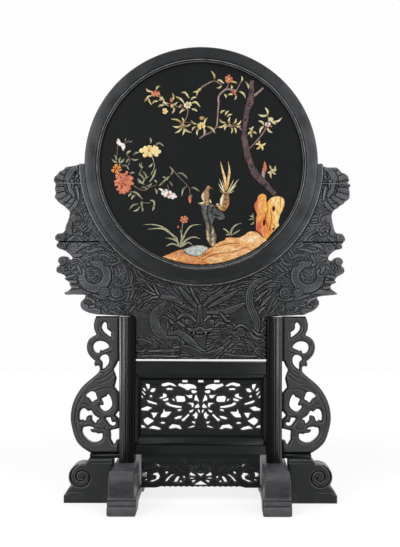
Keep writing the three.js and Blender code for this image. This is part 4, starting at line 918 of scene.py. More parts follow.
class Stones:
    """The stones of one inlay, gathered by their look."""

    def __init__(self, seed):
        self.random = np.random.default_rng(seed)
        self.parts = {}

    def add(self, look, flat, height, crest, tint):
        """A solid whose front is a grid of points, with heights over the ground panel."""
        rows, columns = height.shape
        upper = np.stack([flat[..., 0], GROUND_FRONT - height, flat[..., 1] + DISC_Z], -1).reshape(-1, 3)
        lower = upper.copy()
        lower[:, 1] = GROUND_FRONT + SUNK
        index = np.arange(rows * columns).reshape(rows, columns)
        count = index.size
        front = np.stack([index[:-1, :-1], index[1:, :-1], index[1:, 1:], index[:-1, 1:]], -1).reshape(-1, 4)
        rim = np.concatenate([index[:-1, 0], index[-1, :-1], index[:0:-1, -1], index[0, :0:-1]])
        after = np.roll(rim, -1)
        sides = np.stack([after, rim, rim + count, after + count], 1)
        faces = np.concatenate([front, sides, front[:, ::-1] + count])
        values = [np.tile(np.broadcast_to(v, height.shape).ravel(), 2) for v in (crest, tint)]
        self.parts.setdefault(look, []).append((np.concatenate([upper, lower]), faces, *values))

    def band(self, look, points, width, rise, shape, base=0.0, rib=0.0, tint=(0.25, 0.85), steps=12,
             across=7):
        """A domed stone along a line, as wide as shape(along) says, with a groove and veins of depth rib."""
        line = drawn(points)
        run = np.concatenate([[0.0], np.cumsum(np.hypot(*np.diff(line, axis=0).T))])
        along = np.linspace(0, 1, steps)
        line = np.stack([np.interp(along * run[-1], run, line[:, i]) for i in (0, 1)], 1)
        left = directions(line)[1]
        half = width / 2 * shape(along)
        v = np.linspace(-1, 1, across)[None]
        flat = line[:, None] + left[:, None] * (half[:, None] * v)[..., None]
        dome = np.sqrt(1 - 0.97 * v**2) * np.sqrt(half / half.max())[:, None]
        groove = np.exp(-((v / 0.25) ** 2))
        veins = np.abs(np.sin(math.pi * (6 * along[:, None] - 1.3 * np.abs(v))))
        height = base + rise * (0.25 + 0.75 * dome) - rib * (groove + 0.3 * veins)
        # The crest falls towards the stone's edges and in its groove, where the stone material paints shade.
        crest = 0.6 - 0.3 * np.abs(v) ** 5 - 0.5 * rib * groove
        spread = self.random.uniform(-0.12, 0.12)
        # One side of each ribbed stone is made darker.
        shade = tint[0] + (tint[1] - tint[0]) * along[:, None] - 0.3 * rib * (v > 0.2) + spread
        self.add(look, flat, height, crest, shade)

    def stem(self, look, points, first, last, rise=2.4):
        self.band(look, points, max(first, last), rise, tapered(first, last),
                  steps=5 * len(points), across=6, tint=(0.5, 0.5))

    def leaf(self, look, points, width=4.6, rise=2.8, tint=(0.1, 0.9)):
        points = np.asarray(points, float)
        if len(points) == 2:
            ahead = points[1] - points[0]
            bend = self.random.choice((-0.16, 0.16)) * np.array([-ahead[1], ahead[0]])
            points = np.array([points[0], (points[0] + points[1]) / 2 + bend, points[1]])
        self.band(look, points, width, rise, leaf_shape, rib=0.5, tint=tint)

    def leaves(self, look, width, paths, tint=(0.1, 0.9)):
        for path in paths:
            self.leaf(look, path, width, tint=tint)

    def star(self, look, centre, tips, width=4.6):
        for tip in tips:
            self.leaf(look, [centre, tip], width)

    def dome(self, look, x, z, rx, rz, rise=3.4, base=0.0, tint=(0.5, 0.5)):
        self.band(look, [[x - rx, z], [x + rx, z]], 2 * rz, rise, oval_shape, base, tint=tint)

    def bloom(self, look, x, z, rx, rz, petals=6, layers=2, tilt=0.0, heart=None):
        turn = math.radians(tilt)
        axes = np.array([[math.cos(turn), math.sin(turn)], [-math.sin(turn), math.cos(turn)]])
        for layer in range(layers):
            reach = 1 - 0.75 * layer / layers
            count = max(petals - 2 * layer, 4)
            for k in range(count):
                angle = 2 * math.pi * (k + layer / 2 + self.random.uniform(-0.15, 0.15)) / count
                tip = np.array([rx * math.cos(angle), rz * math.sin(angle)]) * reach
                tip = tip * self.random.uniform(0.88, 1.04)
                curl = np.array([-tip[1], tip[0]]) * self.random.uniform(-0.1, 0.1)
                line = np.array([0.08 * tip, 0.55 * tip + curl, tip]) @ axes + [x, z]
                width = 5.8 * math.sqrt(rx * rz) * reach / count * self.random.uniform(0.9, 1.1)
                self.band(look, line, width, 1.7, petal_shape, 0.9 * layer, 0.25, (0.15, 0.85), 9)
        if heart:
            self.dome(heart, x, z, 0.2 * rx, 0.2 * rz, 1.6, 0.9 * layers)

    def ruffle(self, look, x, z, rx, rz, count, size):
        """A full flower head of short curled petals that overlap in no order, highest in the middle."""
        for k in range(count):
            reach = 0.84 * math.sqrt((k + 0.5) / count)
            angle = GOLDEN_ANGLE * k + self.random.uniform(-0.3, 0.3)
            foot = np.array([x + rx * reach * math.cos(angle), z + rz * reach * math.sin(angle)])
            way = angle + self.random.uniform(-0.9, 0.9)
            run = size * self.random.uniform(0.7, 1.15) * np.array([math.cos(way), math.sin(way)])
            shade = self.random.uniform(0.0, 0.4)
            self.band(look, [foot - 0.5 * run, foot + 0.2 * run, foot + run], 1.2 * size, 1.7, petal_shape,
                      1.6 * (1 - reach), 0.3, (shade, shade + 0.55), 8)

    def plumage(self, look, points, width, length, rows, base, tint=(0.1, 0.9)):
        """Rows of small feathers laid over a body, from its tail end up."""
        line = smooth(points, 6)
        ahead, lefts = directions(line)
        for row in range(rows):
            t = (row + 0.5) / rows
            at = int(t * (len(line) - 1))
            left = lefts[at]
            wide = width * math.sin(math.pi * (0.12 + 0.8 * t))
            for k in range(3 + row % 2):
                side = (k - (2 + row % 2) / 2) / (2 + row % 2)
                root = line[at] + left * side * wide * 0.7
                tip = root - ahead[at] * length + left * side * 1.5
                level = base + 1.4 * math.sqrt(max(0.05, 1 - (1.7 * side) ** 2))
                self.band(look, [root, tip], length * 0.62, 0.9, petal_shape, level, 0.2, tint, 7, 5)

    def set_in(self, node, replace=True):
        for number, (look, rows) in enumerate(self.parts.items()):
            starts = np.cumsum([0] + [len(row[0]) for row in rows])
            new_piece(node + "_" + look, np.concatenate([row[0] for row in rows]),
                      [row[1] + start for row, start in zip(rows, starts)], "disc", look,
                      np.concatenate([row[2] for row in rows]), node if replace and number == 0 else None,
                      tint=np.concatenate([row[3] for row in rows]))


STEM, LEAVES, STAR, DOME, BLOOM, RUFFLE, PLUMAGE = (
    Stones.stem, Stones.leaves, Stones.star, Stones.dome, Stones.bloom, Stones.ruffle, Stones.plumage)
BLADE = (0.45, 1.0)

INLAYS = {
    "upper_branch": [
        (LEAVES, "leaf", 4.3, [
            [[31, 165], [36, 168.5], [46, 161]], [[29, 153], [41, 157]], [[57.5, 164], [71.5, 162]],
            [[59, 160], [60, 150]], [[52, 138], [63, 139]], [[45, 141], [50, 132]], [[69, 141], [66, 128]],
            [[74, 147], [89, 132]], [[87, 166], [94.5, 150]], [[79, 164], [80.5, 177]],
            [[38, 101], [48, 108]], [[48, 97], [55, 107]], [[51, 94], [62, 100]], [[36, 90], [49, 83]],
            [[33, 74], [50, 82]], [[57, 80], [58, 95]], [[68, 78], [80, 88]], [[68, 78], [80, 76]],
            [[60, 75], [60, 61]], [[65, 75], [69, 61]], [[54, 78], [46, 68]], [[62, 79], [70, 92]]]),
        (STEM, "bark", [[70, 147], [60, 149], [50, 150], [41, 144], [34.5, 135], [34.5, 121], [33, 100],
                        [32, 87],
                        [30, 74], [17, 63], [6, 58], [-4, 51]], 5.0, 2.6),
        (STEM, "bark", [[79, 165], [75, 157], [70, 147]], 2.4, 3.2),
        (STEM, "bark", [[49, 79], [57, 75], [70, 77], [82, 68]], 2.0, 3.0),
        (STEM, "bark", [[50, 150], [54, 160]], 3.2, 2.4),
        (BLOOM, "coral", 55, 170, 8.0, 9.5, 6, 2, 25.0, "white"),
        (BLOOM, "coral", 65, 144, 5.0, 6.0, 5, 1),
        (DOME, "ochre", 57, 78, 3.4, 3.0),
    ],
    "blossom_branch": [
        (LEAVES, "leaf", 4.3, [
            [[26, 168], [19, 187]], [[3, 157], [-17, 144]], [[4, 155], [-10, 136]],
            [[-41, 143], [-32, 143], [-24, 131]], [[-53, 136], [-41, 130], [-33, 119]],
            [[-22, 128], [-9, 134]],
            [[-21, 121.5], [-11, 124], [-2, 114]], [[-20, 110], [-8, 105]], [[-31, 109], [-44, 101]],
            [[-36, 118], [-46, 112]],
            [[-77, 133], [-65, 116]], [[-59, 143], [-57, 127]], [[-84, 114], [-74, 118]],
            [[-62, 119], [-47, 125]],
            [[-55, 115], [-59, 101]], [[-66, 117], [-79, 122]],
            [[-22, 89], [-6, 80]], [[14, 94], [6, 77]], [[10, 76], [28, 61]], [[4, 73], [5, 58]],
            [[-4, 72], [-8, 57]], [[-9, 75], [-19, 67]],
            [[-112, 152], [-98, 145]], [[-82, 157], [-91, 148]], [[-115, 124], [-106, 135], [-97, 137]],
            [[-106, 134], [-104, 125], [-99, 118]], [[-99, 121], [-86, 126]], [[-86, 127], [-78, 136]],
            [[-88, 113], [-75, 118]], [[-84, 139], [-76, 130]]]),
        (STAR, "leaf", [-37, 78], [[-61, 90], [-39, 94], [-21, 80], [-19, 63], [-38, 57], [-53, 62],
                                   [-58, 76]]),
        (STEM, "bark", [[41, 158], [31, 165], [23, 166], [14, 162], [2, 155]], 2.6, 3.2),
        (STEM, "bark", [[-27, 110], [-28, 98], [-33, 86]], 2.4, 2.0),
        (STEM, "bark", [[-57, 120], [-46, 114], [-34, 112]], 1.8, 2.0),
        (STEM, "bark", [[-88, 138], [-76, 126], [-62, 120]], 1.6, 1.8),
        (STEM, "bark", [[-34, 84], [-18, 82], [-4, 80]], 1.6, 1.8),
        (BLOOM, "cream", -27, 118, 8.5, 7.5, 7, 2, 0.0, "coral"),
        (DOME, "coral", -60, 128, 3.2, 5.0),
        (DOME, "ochre", -59, 116, 3.6, 3.6),
        (DOME, "ochre", -37, 78, 4.0, 3.6, 4.2),
        (BLOOM, "yellow", -73, 106, 6.0, 6.5, 5, 2),
        (BLOOM, "yellow", 0, 77, 9.0, 7.5, 7, 2, 0.0, "orange"),
        (DOME, "ochre", 1, 92, 5.0, 4.0),
        (BLOOM, "coral", -92, 141, 10.0, 7.0, 7, 2, -10.0, "orange"),
    ],
    "cream_leaf_spray": [
        (LEAVES, "cream", 4.8, [
            [[142, 85], [162, 94]], [[126, 78], [114, 87]], [[126, 77], [117, 61]], [[132, 74], [143, 63]],
            [[133, 98], [127, 114]], [[133, 99], [114, 100]], [[140, 92], [150, 80]]]),
        (STEM, "bark", [[127, 70], [134, 84], [133, 99]], 2.8, 2.0),
        (BLOOM, "white", 133, 80, 6.0, 5.5, 5, 1, 0.0, "coral"),
        (DOME, "cream", 139, 90, 5.5, 4.5),
        (DOME, "coral", 140, 76, 2.4, 2.2),
    ],
    "yellow_star_flower": [
        (STAR, "yellow", [118, 38], [[117, 48], [129, 43], [123, 27], [110, 30], [108, 40]]),
        (DOME, "cream", 118, 38, 2.4, 2.4, 4.0),
    ],
    "green_star_flower": [
        (STAR, "leaf", [101, 65], [[105, 76], [111, 60], [102, 53], [94, 59], [95, 72]]),
    ],
    "orchid_clump": [
        (LEAVES, "sage", 3.6, [
            [[-41, -167], [-59, -141], [-76, -127], [-97, -121], [-118, -122]],
            [[-42, -167], [-50, -148], [-65, -137], [-80, -129], [-109, -131]],
            [[-41, -167], [-48, -156], [-58, -150], [-74, -148]],
            [[-42, -167], [-52, -161], [-60, -160], [-71, -165]],
            [[-41, -167], [-39, -150], [-33, -146]],
            [[-40, -167], [-34, -144], [-25, -128], [-15, -122], [1, -121]],
            [[-40, -167], [-33, -155], [-25, -149], [-13, -146], [-1, -150]],
            [[-40, -167], [-32, -160], [-25, -157], [-16, -163]], [[-41, -167], [-39, -144], [-42, -130]],
            [[-43, -166], [-47, -157], [-49, -145]]], BLADE),
        (STEM, "sage", [[-41, -167], [-39, -140], [-37, -118]], 2.0, 1.6),
        (BLOOM, "coral", -34, -111, 9.0, 7.5, 6, 1, 15.0, "yellow"),
        (DOME, "coral", -46, -126, 2.0, 3.0),
    ],
    "grass_tuft": [
        (LEAVES, "sage", 3.4, [
            [[59, -143], [52, -134], [43, -128]], [[59, -143], [63, -129], [71, -121], [82, -118]],
            [[60, -143], [69, -137], [79, -131]], [[58, -143], [54, -141], [49, -142]],
            [[61, -144], [60, -134], [63, -126]]], BLADE),
    ],
    "red_peony": [
        (RUFFLE, "coral", -155, -37, 18.5, 22.0, 72, 6.2),
        (RUFFLE, "orange", -169, -10, 9.6, 8.8, 18, 4.2),
    ],
    "yellow_peony": [
        (BLOOM, "yellow", -102.5, 25, 22.5, 12.0, 8, 2),
        (RUFFLE, "yellow", -102.0, 28, 12.5, 7.0, 18, 5.4),
        (DOME, "orange", -104.0, 26, 2.6, 1.8, 1.6, 3.0),
    ],
    "white_peony": [
        (BLOOM, "white", -65, -61, 17.0, 8.5, 9, 4, -18.0, "coral"),
        (LEAVES, "white", 5.0, [[[-76, -57], [-86, -49]]], BLADE),
    ],
    "pink_bud": [
        (LEAVES, "white", 5.6, [[[-168, 51], [-164, 44], [-160, 37]], [[-170, 46], [-165, 40], [-159, 36]],
                                [[-163, 40], [-158, 35], [-156, 26]], [[-161, 42], [-155, 37], [-154, 29]]],
                                BLADE),
        (STEM, "bark", [[-157, 41], [-150, 43], [-144, 47]], 1.8, 2.2),
        (LEAVES, "sage", 3.2, [[[-146, 44], [-138, 47]], [[-152, 44], [-150, 52]]]),
    ],
    "peony_stems": [
        (LEAVES, "sage", 4.4, [
            [[-102.5, 40], [-103, 53]], [[-92, 38], [-84, 42], [-75, 36]],
            [[-179, 11], [-168, 3]], [[-175, 19], [-170, 6]], [[-154, 11], [-166, 2]],
            [[-160, 14], [-164, 2]],
            [[-161, -4], [-151, -3], [-144, -12]], [[-144, -20], [-133, -18]], [[-142, 11], [-125, 10]],
            [[-137, 17], [-124, 23]], [[-150, 19], [-140, 26]], [[-143, 10], [-150, 2]],
            [[-127, -19], [-115, -32]], [[-127, -37], [-113, -42]], [[-104, -24], [-117, -41]],
            [[-90, -8], [-96, -25], [-105, -38]], [[-95, -32], [-89, -38]], [[-94, -48], [-89, -61]],
            [[-121, -47], [-107, -51]], [[-112, -44], [-98, -38]], [[-128, -28], [-117, -36]],
            [[-118, -14], [-110, -30]],
            [[-86, -45], [-73, -33], [-62, -24]], [[-62, -24], [-57, -13], [-64, -5]],
            [[-50, -18], [-38, -19], [-27, -29]],
            [[-65, -35], [-58, -45]], [[-74, -34], [-66, -24]], [[-70, -30], [-78, -26]],
            [[-28, -44], [-36, -51], [-39, -65]], [[-21, -47], [-13, -48], [-3, -55]],
            [[-145, -56], [-131, -57], [-117, -71]], [[-118, -74], [-117, -86]], [[-124, -80], [-144, -91]],
            [[-122, -84], [-136, -95]], [[-120, -84], [-118, -96]], [[-130, -62], [-140, -72]],
            [[-138, -60], [-146, -66]],
            [[-104, -72], [-95, -75], [-93, -86]], [[-96, -80], [-98, -94]], [[-66, -54], [-76, -51]],
            [[-124, 2], [-116, -8]], [[-106, -6], [-98, 2]]]),
        (STEM, "bark", [[-166, 39], [-168, 30], [-169, 16]], 1.8, 1.8),
        (STEM, "bark", [[-150, 20], [-143, 9], [-146, -3]], 1.8, 1.8),
        (STEM, "sage", [[-99, 16], [-96, 8], [-94, -7], [-101, -22]], 1.9, 1.9),
        (STEM, "sage", [[-120, 4], [-119, -8], [-124, -20]], 1.7, 1.8),
        (STEM, "bark", [[-134, -44], [-125, -50], [-114, -53], [-104, -47], [-90, -42]], 2.0, 1.6),
        (STEM, "bark", [[-57, -12], [-45, -25], [-27, -44], [-22, -52]], 1.9, 1.6),
        (STEM, "bark", [[-67, -42], [-65, -54]], 1.6, 1.6),
        (STEM, "bark", [[-23, -50], [-22, -64]], 1.5, 1.5),
        (STEM, "sage", [[-118, -78], [-102, -78]], 1.7, 1.5),
    ],
    "hanging_bud": [
        (LEAVES, "coral", 6.5, [[[-22, -63], [-22.5, -71], [-22, -79]]], BLADE),
        (LEAVES, "sage", 2.6, [[[-22, -60], [-26, -67]], [[-22, -60], [-18.5, -67]]]),
    ],
    "perched_bird": [
        (STEM, "ochre", [[14, -47], [12, -52], [11, -60]], 7.0, 10.0, 3.4),
        (DOME, "ochre", 14.5, -47, 4.2, 3.8, 4.4),
        (LEAVES, "ochre", 15.0, [[[13, -50], [9, -64], [12, -79]]]),
        (LEAVES, "cream", 6.5, [[[9, -54], [3.5, -64], [6, -76]]]),
        (LEAVES, "cream", 4.2, [[[10, -75], [2, -78], [-7, -79]], [[18, -70], [21, -78]]]),
        (PLUMAGE, "ochre", [[12, -79], [10, -64], [14, -50]], 9.0, 6.0, 6, 2.6),
        (LEAVES, "bark", 2.2, [[[17, -47], [20, -48], [22.5, -52]]]),
        (DOME, "trunk", 15.6, -46.4, 1.0, 1.0, 1.4, 3.8),
        (STEM, "bark", [[13, -78], [12, -82]], 1.4, 1.4),
    ],
    "long_tailed_bird": [
        (LEAVES, "tail", 5.4, [[[49, -56], [48, -33], [43, -13], [38, 6]],
                               [[50.5, -56], [54, -33], [56.5, -13], [54, 6]]], BLADE),
        (LEAVES, "ochre", 16.5, [[[49, -55], [48, -75], [44, -95]]]),
        (LEAVES, "orange", 8.0, [[[53, -68], [52, -80], [45, -95]]]),
        (LEAVES, "cream", 7.5, [[[47, -58], [41, -74], [41, -88]]], BLADE),
        (PLUMAGE, "ochre", [[44, -95], [48, -78], [50, -58]], 11.0, -5.5, 8, 2.7),
        (LEAVES, "cream", 3.0, [[[48, -60], [42, -44], [36, -28]], [[48, -60], [40, -48], [34, -38]],
                                [[51, -60], [64, -44], [76, -29]], [[52, -60], [62, -50], [71, -41]]],
                                BLADE),
        (LEAVES, "sage", 2.8, [[[52, -61], [60, -56], [67, -53]], [[50, -60], [60, -42], [66, -28]],
                               [[47, -61], [40, -55], [36, -50]], [[50, -60], [45, -44], [42, -30]]], BLADE),
        (STEM, "ochre", [[43, -91], [38, -88], [35, -84]], 7.0, 6.0, 3.4),
        (DOME, "ochre", 33.5, -82, 4.4, 4.2, 4.0),
        (DOME, "cream", 32.6, -80.5, 2.2, 2.2, 1.2, 3.5),
        (DOME, "trunk", 32.6, -80.5, 1.0, 1.0, 1.6, 4.0),
        (LEAVES, "bark", 2.4, [[[31, -84], [28, -85], [26, -88]]]),
    ],
}
BESIDE_THE_TREE = [
    (STAR, "leaf", [142, -12], [[132, -17], [149, -3], [150, -20], [141, -29], [151, -10], [138, -2]]),
    (DOME, "white", 142, -12, 2.6, 2.4, 3.8),
    (LEAVES, "sage", 3.4, [[[107, -112], [97, -103]], [[107, -112], [95, -112]], [[107, -114], [98, -121]],
                           [[106, -109], [104, -98]]]),
    (STEM, "bark", [[96, 132], [108, 139], [124, 153]], 6.0, 4.0),
    (STEM, "bark", [[92, 24], [98, 33], [105, 40], [118, 55], [130, 72]], 3.0, 3.6),
    (STEM, "bark", [[122, -34], [125, -16], [126, -8]], 8.0, 6.5),
    (LEAVES, "coral", 8.5, [[[125, -20], [127.5, -8], [127, 6]]]),
]


def crags(x, z, scale, seed, octaves=3):
    """Ridged waves, 0 in the crevices."""
    random = np.random.default_rng(seed)
    total = np.zeros(x.shape)
    for octave in range(octaves):
        wave = np.zeros(x.shape)
        for _ in range(4):
            angle, phase = random.uniform(0, 2 * math.pi, 2)
            pitch = scale / 1.9**octave * random.uniform(0.7, 1.4)
            wave += np.sin(2 * math.pi * (x * math.cos(angle) + z * math.sin(angle)) / pitch + phase)
        total += np.abs(wave) / 2.6 / 1.7**octave
    return np.clip(total, 0, 1.3)


def roughened(loop, amount, seed):
    """The loop with each point moved a little at random."""
    random = np.random.default_rng(seed)
    return loop + random.uniform(-amount, amount, loop.shape)


def make_rock(node, look, outline, holes, scale, stretch, seed, tint, cracks=(), octaves=2):
    """A craggy stone; stretch draws its crags out upwards, and cracks are lines of deeper grooves."""
    loops = [roughened(smooth(outline, 4, closed=True), 0.45, seed)]
    for x, z, rx, rz in holes:
        ring = (ring_points(0, 0, 1.0, 330, 0, 12) * [rx, rz]) + [x, z]
        loops.append(roughened(ring, 0.3, seed + 1))
    loops = [loop + [0, DISC_Z] for loop in loops]
    ends = np.concatenate(loops)
    relief = Relief(ends.min(0) - 3, ends.max(0) + 3, 0.75, STONE_HEIGHT, 0.0)
    x, z = np.meshgrid(relief.x, relief.z)
    ridge = crags(x, (z - DISC_Z) / stretch, scale, seed, octaves)
    facets = crags(x, (z - DISC_Z) / stretch, scale * 2.6, seed + 5, 1)
    relief.h = np.clip(1.6 + 1.9 * ridge + 1.2 * facets, 0.4, STONE_HEIGHT)
    for line in cracks:
        relief.cut(np.asarray(line, float) + [0, DISC_Z], 2.6, 2.0, 4)
    carved(node, relief, loops, GROUND_FRONT - STONE_HEIGHT, GROUND_FRONT + SUNK,
           [(segments_of(loops), 1.6)], "disc", look, tint=tint, wear_and_light=0.0)


def make_trunk():
    path = [(101, 168, 10), (100, 144, 12), (98, 125, 15), (92, 109, 13), (89, 93, 12), (87, 74, 11),
            (86, 55, 13),
            (89, 36, 14), (93, 17, 15), (99, 0, 14), (106, -16, 15), (118, -30, 15), (133, -45, 13),
            (149, -61, 11)]
    line = smooth([row[:2] for row in path], 4)
    widths = [row[2] for row in path]
    half = 0.5 * np.interp(np.linspace(0, 1, len(line)), np.linspace(0, 1, len(path)), widths)
    left = directions(line)[1] * half[:, None]
    loop = roughened(np.concatenate([line - left, (line + left)[::-1]]), 0.5, 31) + [0, DISC_Z]
    relief = Relief(loop.min(0) - 3, loop.max(0) + 3, 0.75, STONE_HEIGHT, 0.3)
    x, z = np.meshgrid(relief.x, relief.z)
    gap, along, side, long = to_line(x, z, line[::2] + [0, DISC_Z])
    wide = np.interp(along / long, np.linspace(0, 1, len(half)), half)
    bark = np.abs(np.sin(side * 0.9 + 1.6 * np.sin(along / 9.0) + 0.9 * np.sin(along / 3.7)))
    dome = np.sqrt(np.clip(1 - (gap / wide) ** 2, 0, 1))
    relief.h = np.clip(1.4 + 2.7 * dome + 1.5 * bark - 0.5, 0.3, STONE_HEIGHT)
    for kx, kz, radius in ((97, 119, 3.6), (91, 62, 3.0), (87, 88, 2.6), (92, 12, 3.4), (101, -4, 3.0),
                           (112, -26, 3.2), (129, -42, 2.8), (99, 146, 2.8)):
        relief.dome(kx, kz + DISC_Z, radius * 0.8, STONE_HEIGHT, 1.2, 0.6)
    loops = [loop]
    carved("tree_trunk", relief, loops, GROUND_FRONT - STONE_HEIGHT, GROUND_FRONT + SUNK,
           [(segments_of(loops), 1.4)], "disc", "trunk", wear_and_light=0.0,
           tint=lambda x, z: 0.3 + 0.35 * np.clip((z - DISC_Z - 60) / 90, -0.3, 1) + 0.14 * np.sin(z / 6.0))


def make_rocks():
    make_rock("scholar_rock", "scholar_amber", [
        [122, -59], [130, -63], [132, -74], [140, -67], [150, -64], [162, -66], [167, -75], [165, -89],
        [159, -101],
        [155, -113], [156, -123], [147, -133], [139, -142], [131, -151], [124, -147], [118, -139],
        [111, -133],
        [109, -126], [110, -111], [111, -99], [107, -89], [106, -80], [111, -73], [114, -64]],
        [(145, -89, 2.4, 5.0), (126, -117, 1.8, 7.0), (145, -130, 2.0, 2.4)], 38.0, 1.6, 41,
        lambda x, z: np.interp(x + 0.15 * (z + 100), [106, 116, 132, 158], [0.1, 0.24, 0.45, 0.72]),
        [[[131, -72], [134, -90], [129, -108], [133, -126]], [[139, -94], [141, -110], [137, -132]]], 1)
    rim = ring_points(0, 0, 201.3, -49.2, -112.6, 26)
    make_rock("ground_rock", "ground_amber", [
        [-77, -185], [-59, -178], [-45, -172], [-34, -171.5], [-33, -177], [-24, -182.5], [-14, -184.5],
        [-4, -184.5], [6, -178], [14, -170], [26, -164], [31.5, -158], [48, -151], [51, -147], [74, -147],
        [86, -142],
        [97.5, -135], [112, -136], [122, -146], [130, -151], *rim.tolist()], [], 46.0, 0.55, 52,
        lambda x, z: np.interp(x, [-80, -40, 0, 40, 120], [0.3, 0.24, 0.36, 0.55, 0.62]),
        [[[2, -192], [30, -180], [62, -176], [92, -166]], [[30, -166], [52, -160], [76, -158]],
         [[-6, -190], [8, -182], [24, -172]]])
    make_rock("blue_stone", "blue", [
        [-35, -171], [-19, -165], [-4, -162.5], [9, -165], [14, -169.5], [6, -177], [-4, -183.5],
        [-14, -183.5],
        [-24, -181.5], [-32, -176]], [], 22.0, 0.6, 63, lambda x, z: np.full(x.shape, 0.5))
    make_rock("pillar_rock", "pillar", [
        [-7, -79], [7, -78.5], [21, -80], [26, -82], [30, -89], [43, -96.5], [48, -104], [45, -111],
        [33, -111],
        [28.5, -108], [26, -113], [23, -123], [28.5, -135], [31.5, -145], [28.5, -161], [23, -165],
        [18, -162],
        [9.5, -145], [9.5, -133], [8, -120], [4, -107], [1, -97], [-1, -84]], [], 20.0, 1.8, 74,
        lambda x, z: np.interp(z, [-165, -150, -128, -118, -84, -79], [0.8, 0.62, 0.5, 0.2, 0.18, 0.9])
        + 0.22 * np.sin(x / 1.7) * (z < -118),
        [[[14, -84], [12, -100], [17, -118], [20, -140]], [[24, -86], [22, -100], [36, -104]]])


def set_stones(node, rows, seed, replace=True):
    stones = Stones(seed)
    for kind, *values in rows:
        kind(stones, *values)
    stones.set_in(node, replace)


def make_inlays():
    make_trunk()
    make_rocks()
    for seed, (node, rows) in enumerate(INLAYS.items()):
        set_stones(node, rows, 100 + seed)
    set_stones("tree_side", BESIDE_THE_TREE, 90, replace=False)


make_inlays()


# Cradle carving: dragons, clouds and water


EDDIES = [
    # across, up, strength and its side
    (213, 452, 1.6), (256, 507, -1.0), (262, 620, 1.4), (178, 405, -1.2), (110, 380, 1.2), (70, 318, -1.0),
    (-213, 452, -1.6), (-256, 507, 1.0), (-262, 620, -1.4), (-178, 405, 1.2), (-76, 360, -1.6),
    (-100, 310, 1.0),
    (0, 430, 1.2),
]
EDDY_REACH = 24.0


def drift(x, z):
    """The way that the ground's fine lines run at a place, as a unit vector."""
    way_x, way_z = 0.25, 0.12 * math.sin(x / 31.0)
    for ex, ez, strength in EDDIES:
        dx, dz = x - ex, z - ez
        pull = strength * EDDY_REACH / (dx * dx + dz * dz + EDDY_REACH**2)
        way_x -= pull * dz
        way_z += pull * dx
    long = math.hypot(way_x, way_z)
    return way_x / long, way_z / long


def flow_filling(relief, seed):
    """Fine swirling lines over the whole ground, so that no plain spot is left between the main forms."""
    random = np.random.default_rng(seed)
    spacing = 9.5
    for row, z in enumerate(np.arange(relief.z[0], relief.z[-1], spacing * 0.62)):
        for x in np.arange(relief.x[0] + spacing / 2 * (row % 2), relief.x[-1], spacing * 1.5):
            px, pz = x + random.uniform(-2, 2), z + random.uniform(-1.5, 1.5)
            length = random.uniform(4.5, 8.0)
            top = random.uniform(4.2, 5.2)
            off_board = math.hypot(px, pz - DISC_Z) < CRESCENT_RADIUS or (abs(px) > 245 and pz < 400)
            if off_board or (pz < 372 and abs(px) > 136):
                continue
            line = [[px, pz]]
            for _ in range(4):
                way_x, way_z = drift(px, pz)
                px, pz = px + length * way_x, pz + length * way_z
                line.append([px, pz])
            relief.stroke(line, (1.2, 2.6, 2.6, 1.2), top, "round", drop=1.9, moat=0.0, pen=3)


def cloud(relief, x, z, size, lean, hand=1, top=6.8):
    """A cloud head of three scrolls with a trailing tail."""
    turn = np.array([[math.cos(lean), -math.sin(lean)], [math.sin(lean), math.cos(lean)]])
    tail = np.array([[0.0, -0.2], [1.5, -0.75 * hand], [3.0, -0.55 * hand], [4.4, -1.0 * hand]]) * size
    relief.stroke(tail @ turn.T + [x, z], (0.9 * size, 0.9 * size, 0.5 * size, 1.0), top - 0.6, "strands", 3,
                  moat=0.8)
    for across, up, share in ((-0.75, 0.1, 0.78), (0.6, 0.4, 0.62), (-0.1, 1.0, 0.55)):
        cx, cz = np.array([across, up * hand]) * size @ turn.T + [x, z]
        relief.spiral(cx, cz, share * size, 1.6, hand, lean + across, top)


def water(relief, x0, x1, z0, z1, pitch=3.3, level=3.2):
    """Fine level lines of water over a rectangle."""
    place, x, z = relief.window(np.array([x0, z0]), np.array([x1, z1]))
    wave = np.abs(np.sin(math.pi * (z + 1.4 * np.sin(x / 8.0)) / pitch))
    relief.h[place] = level + 1.0 * wave


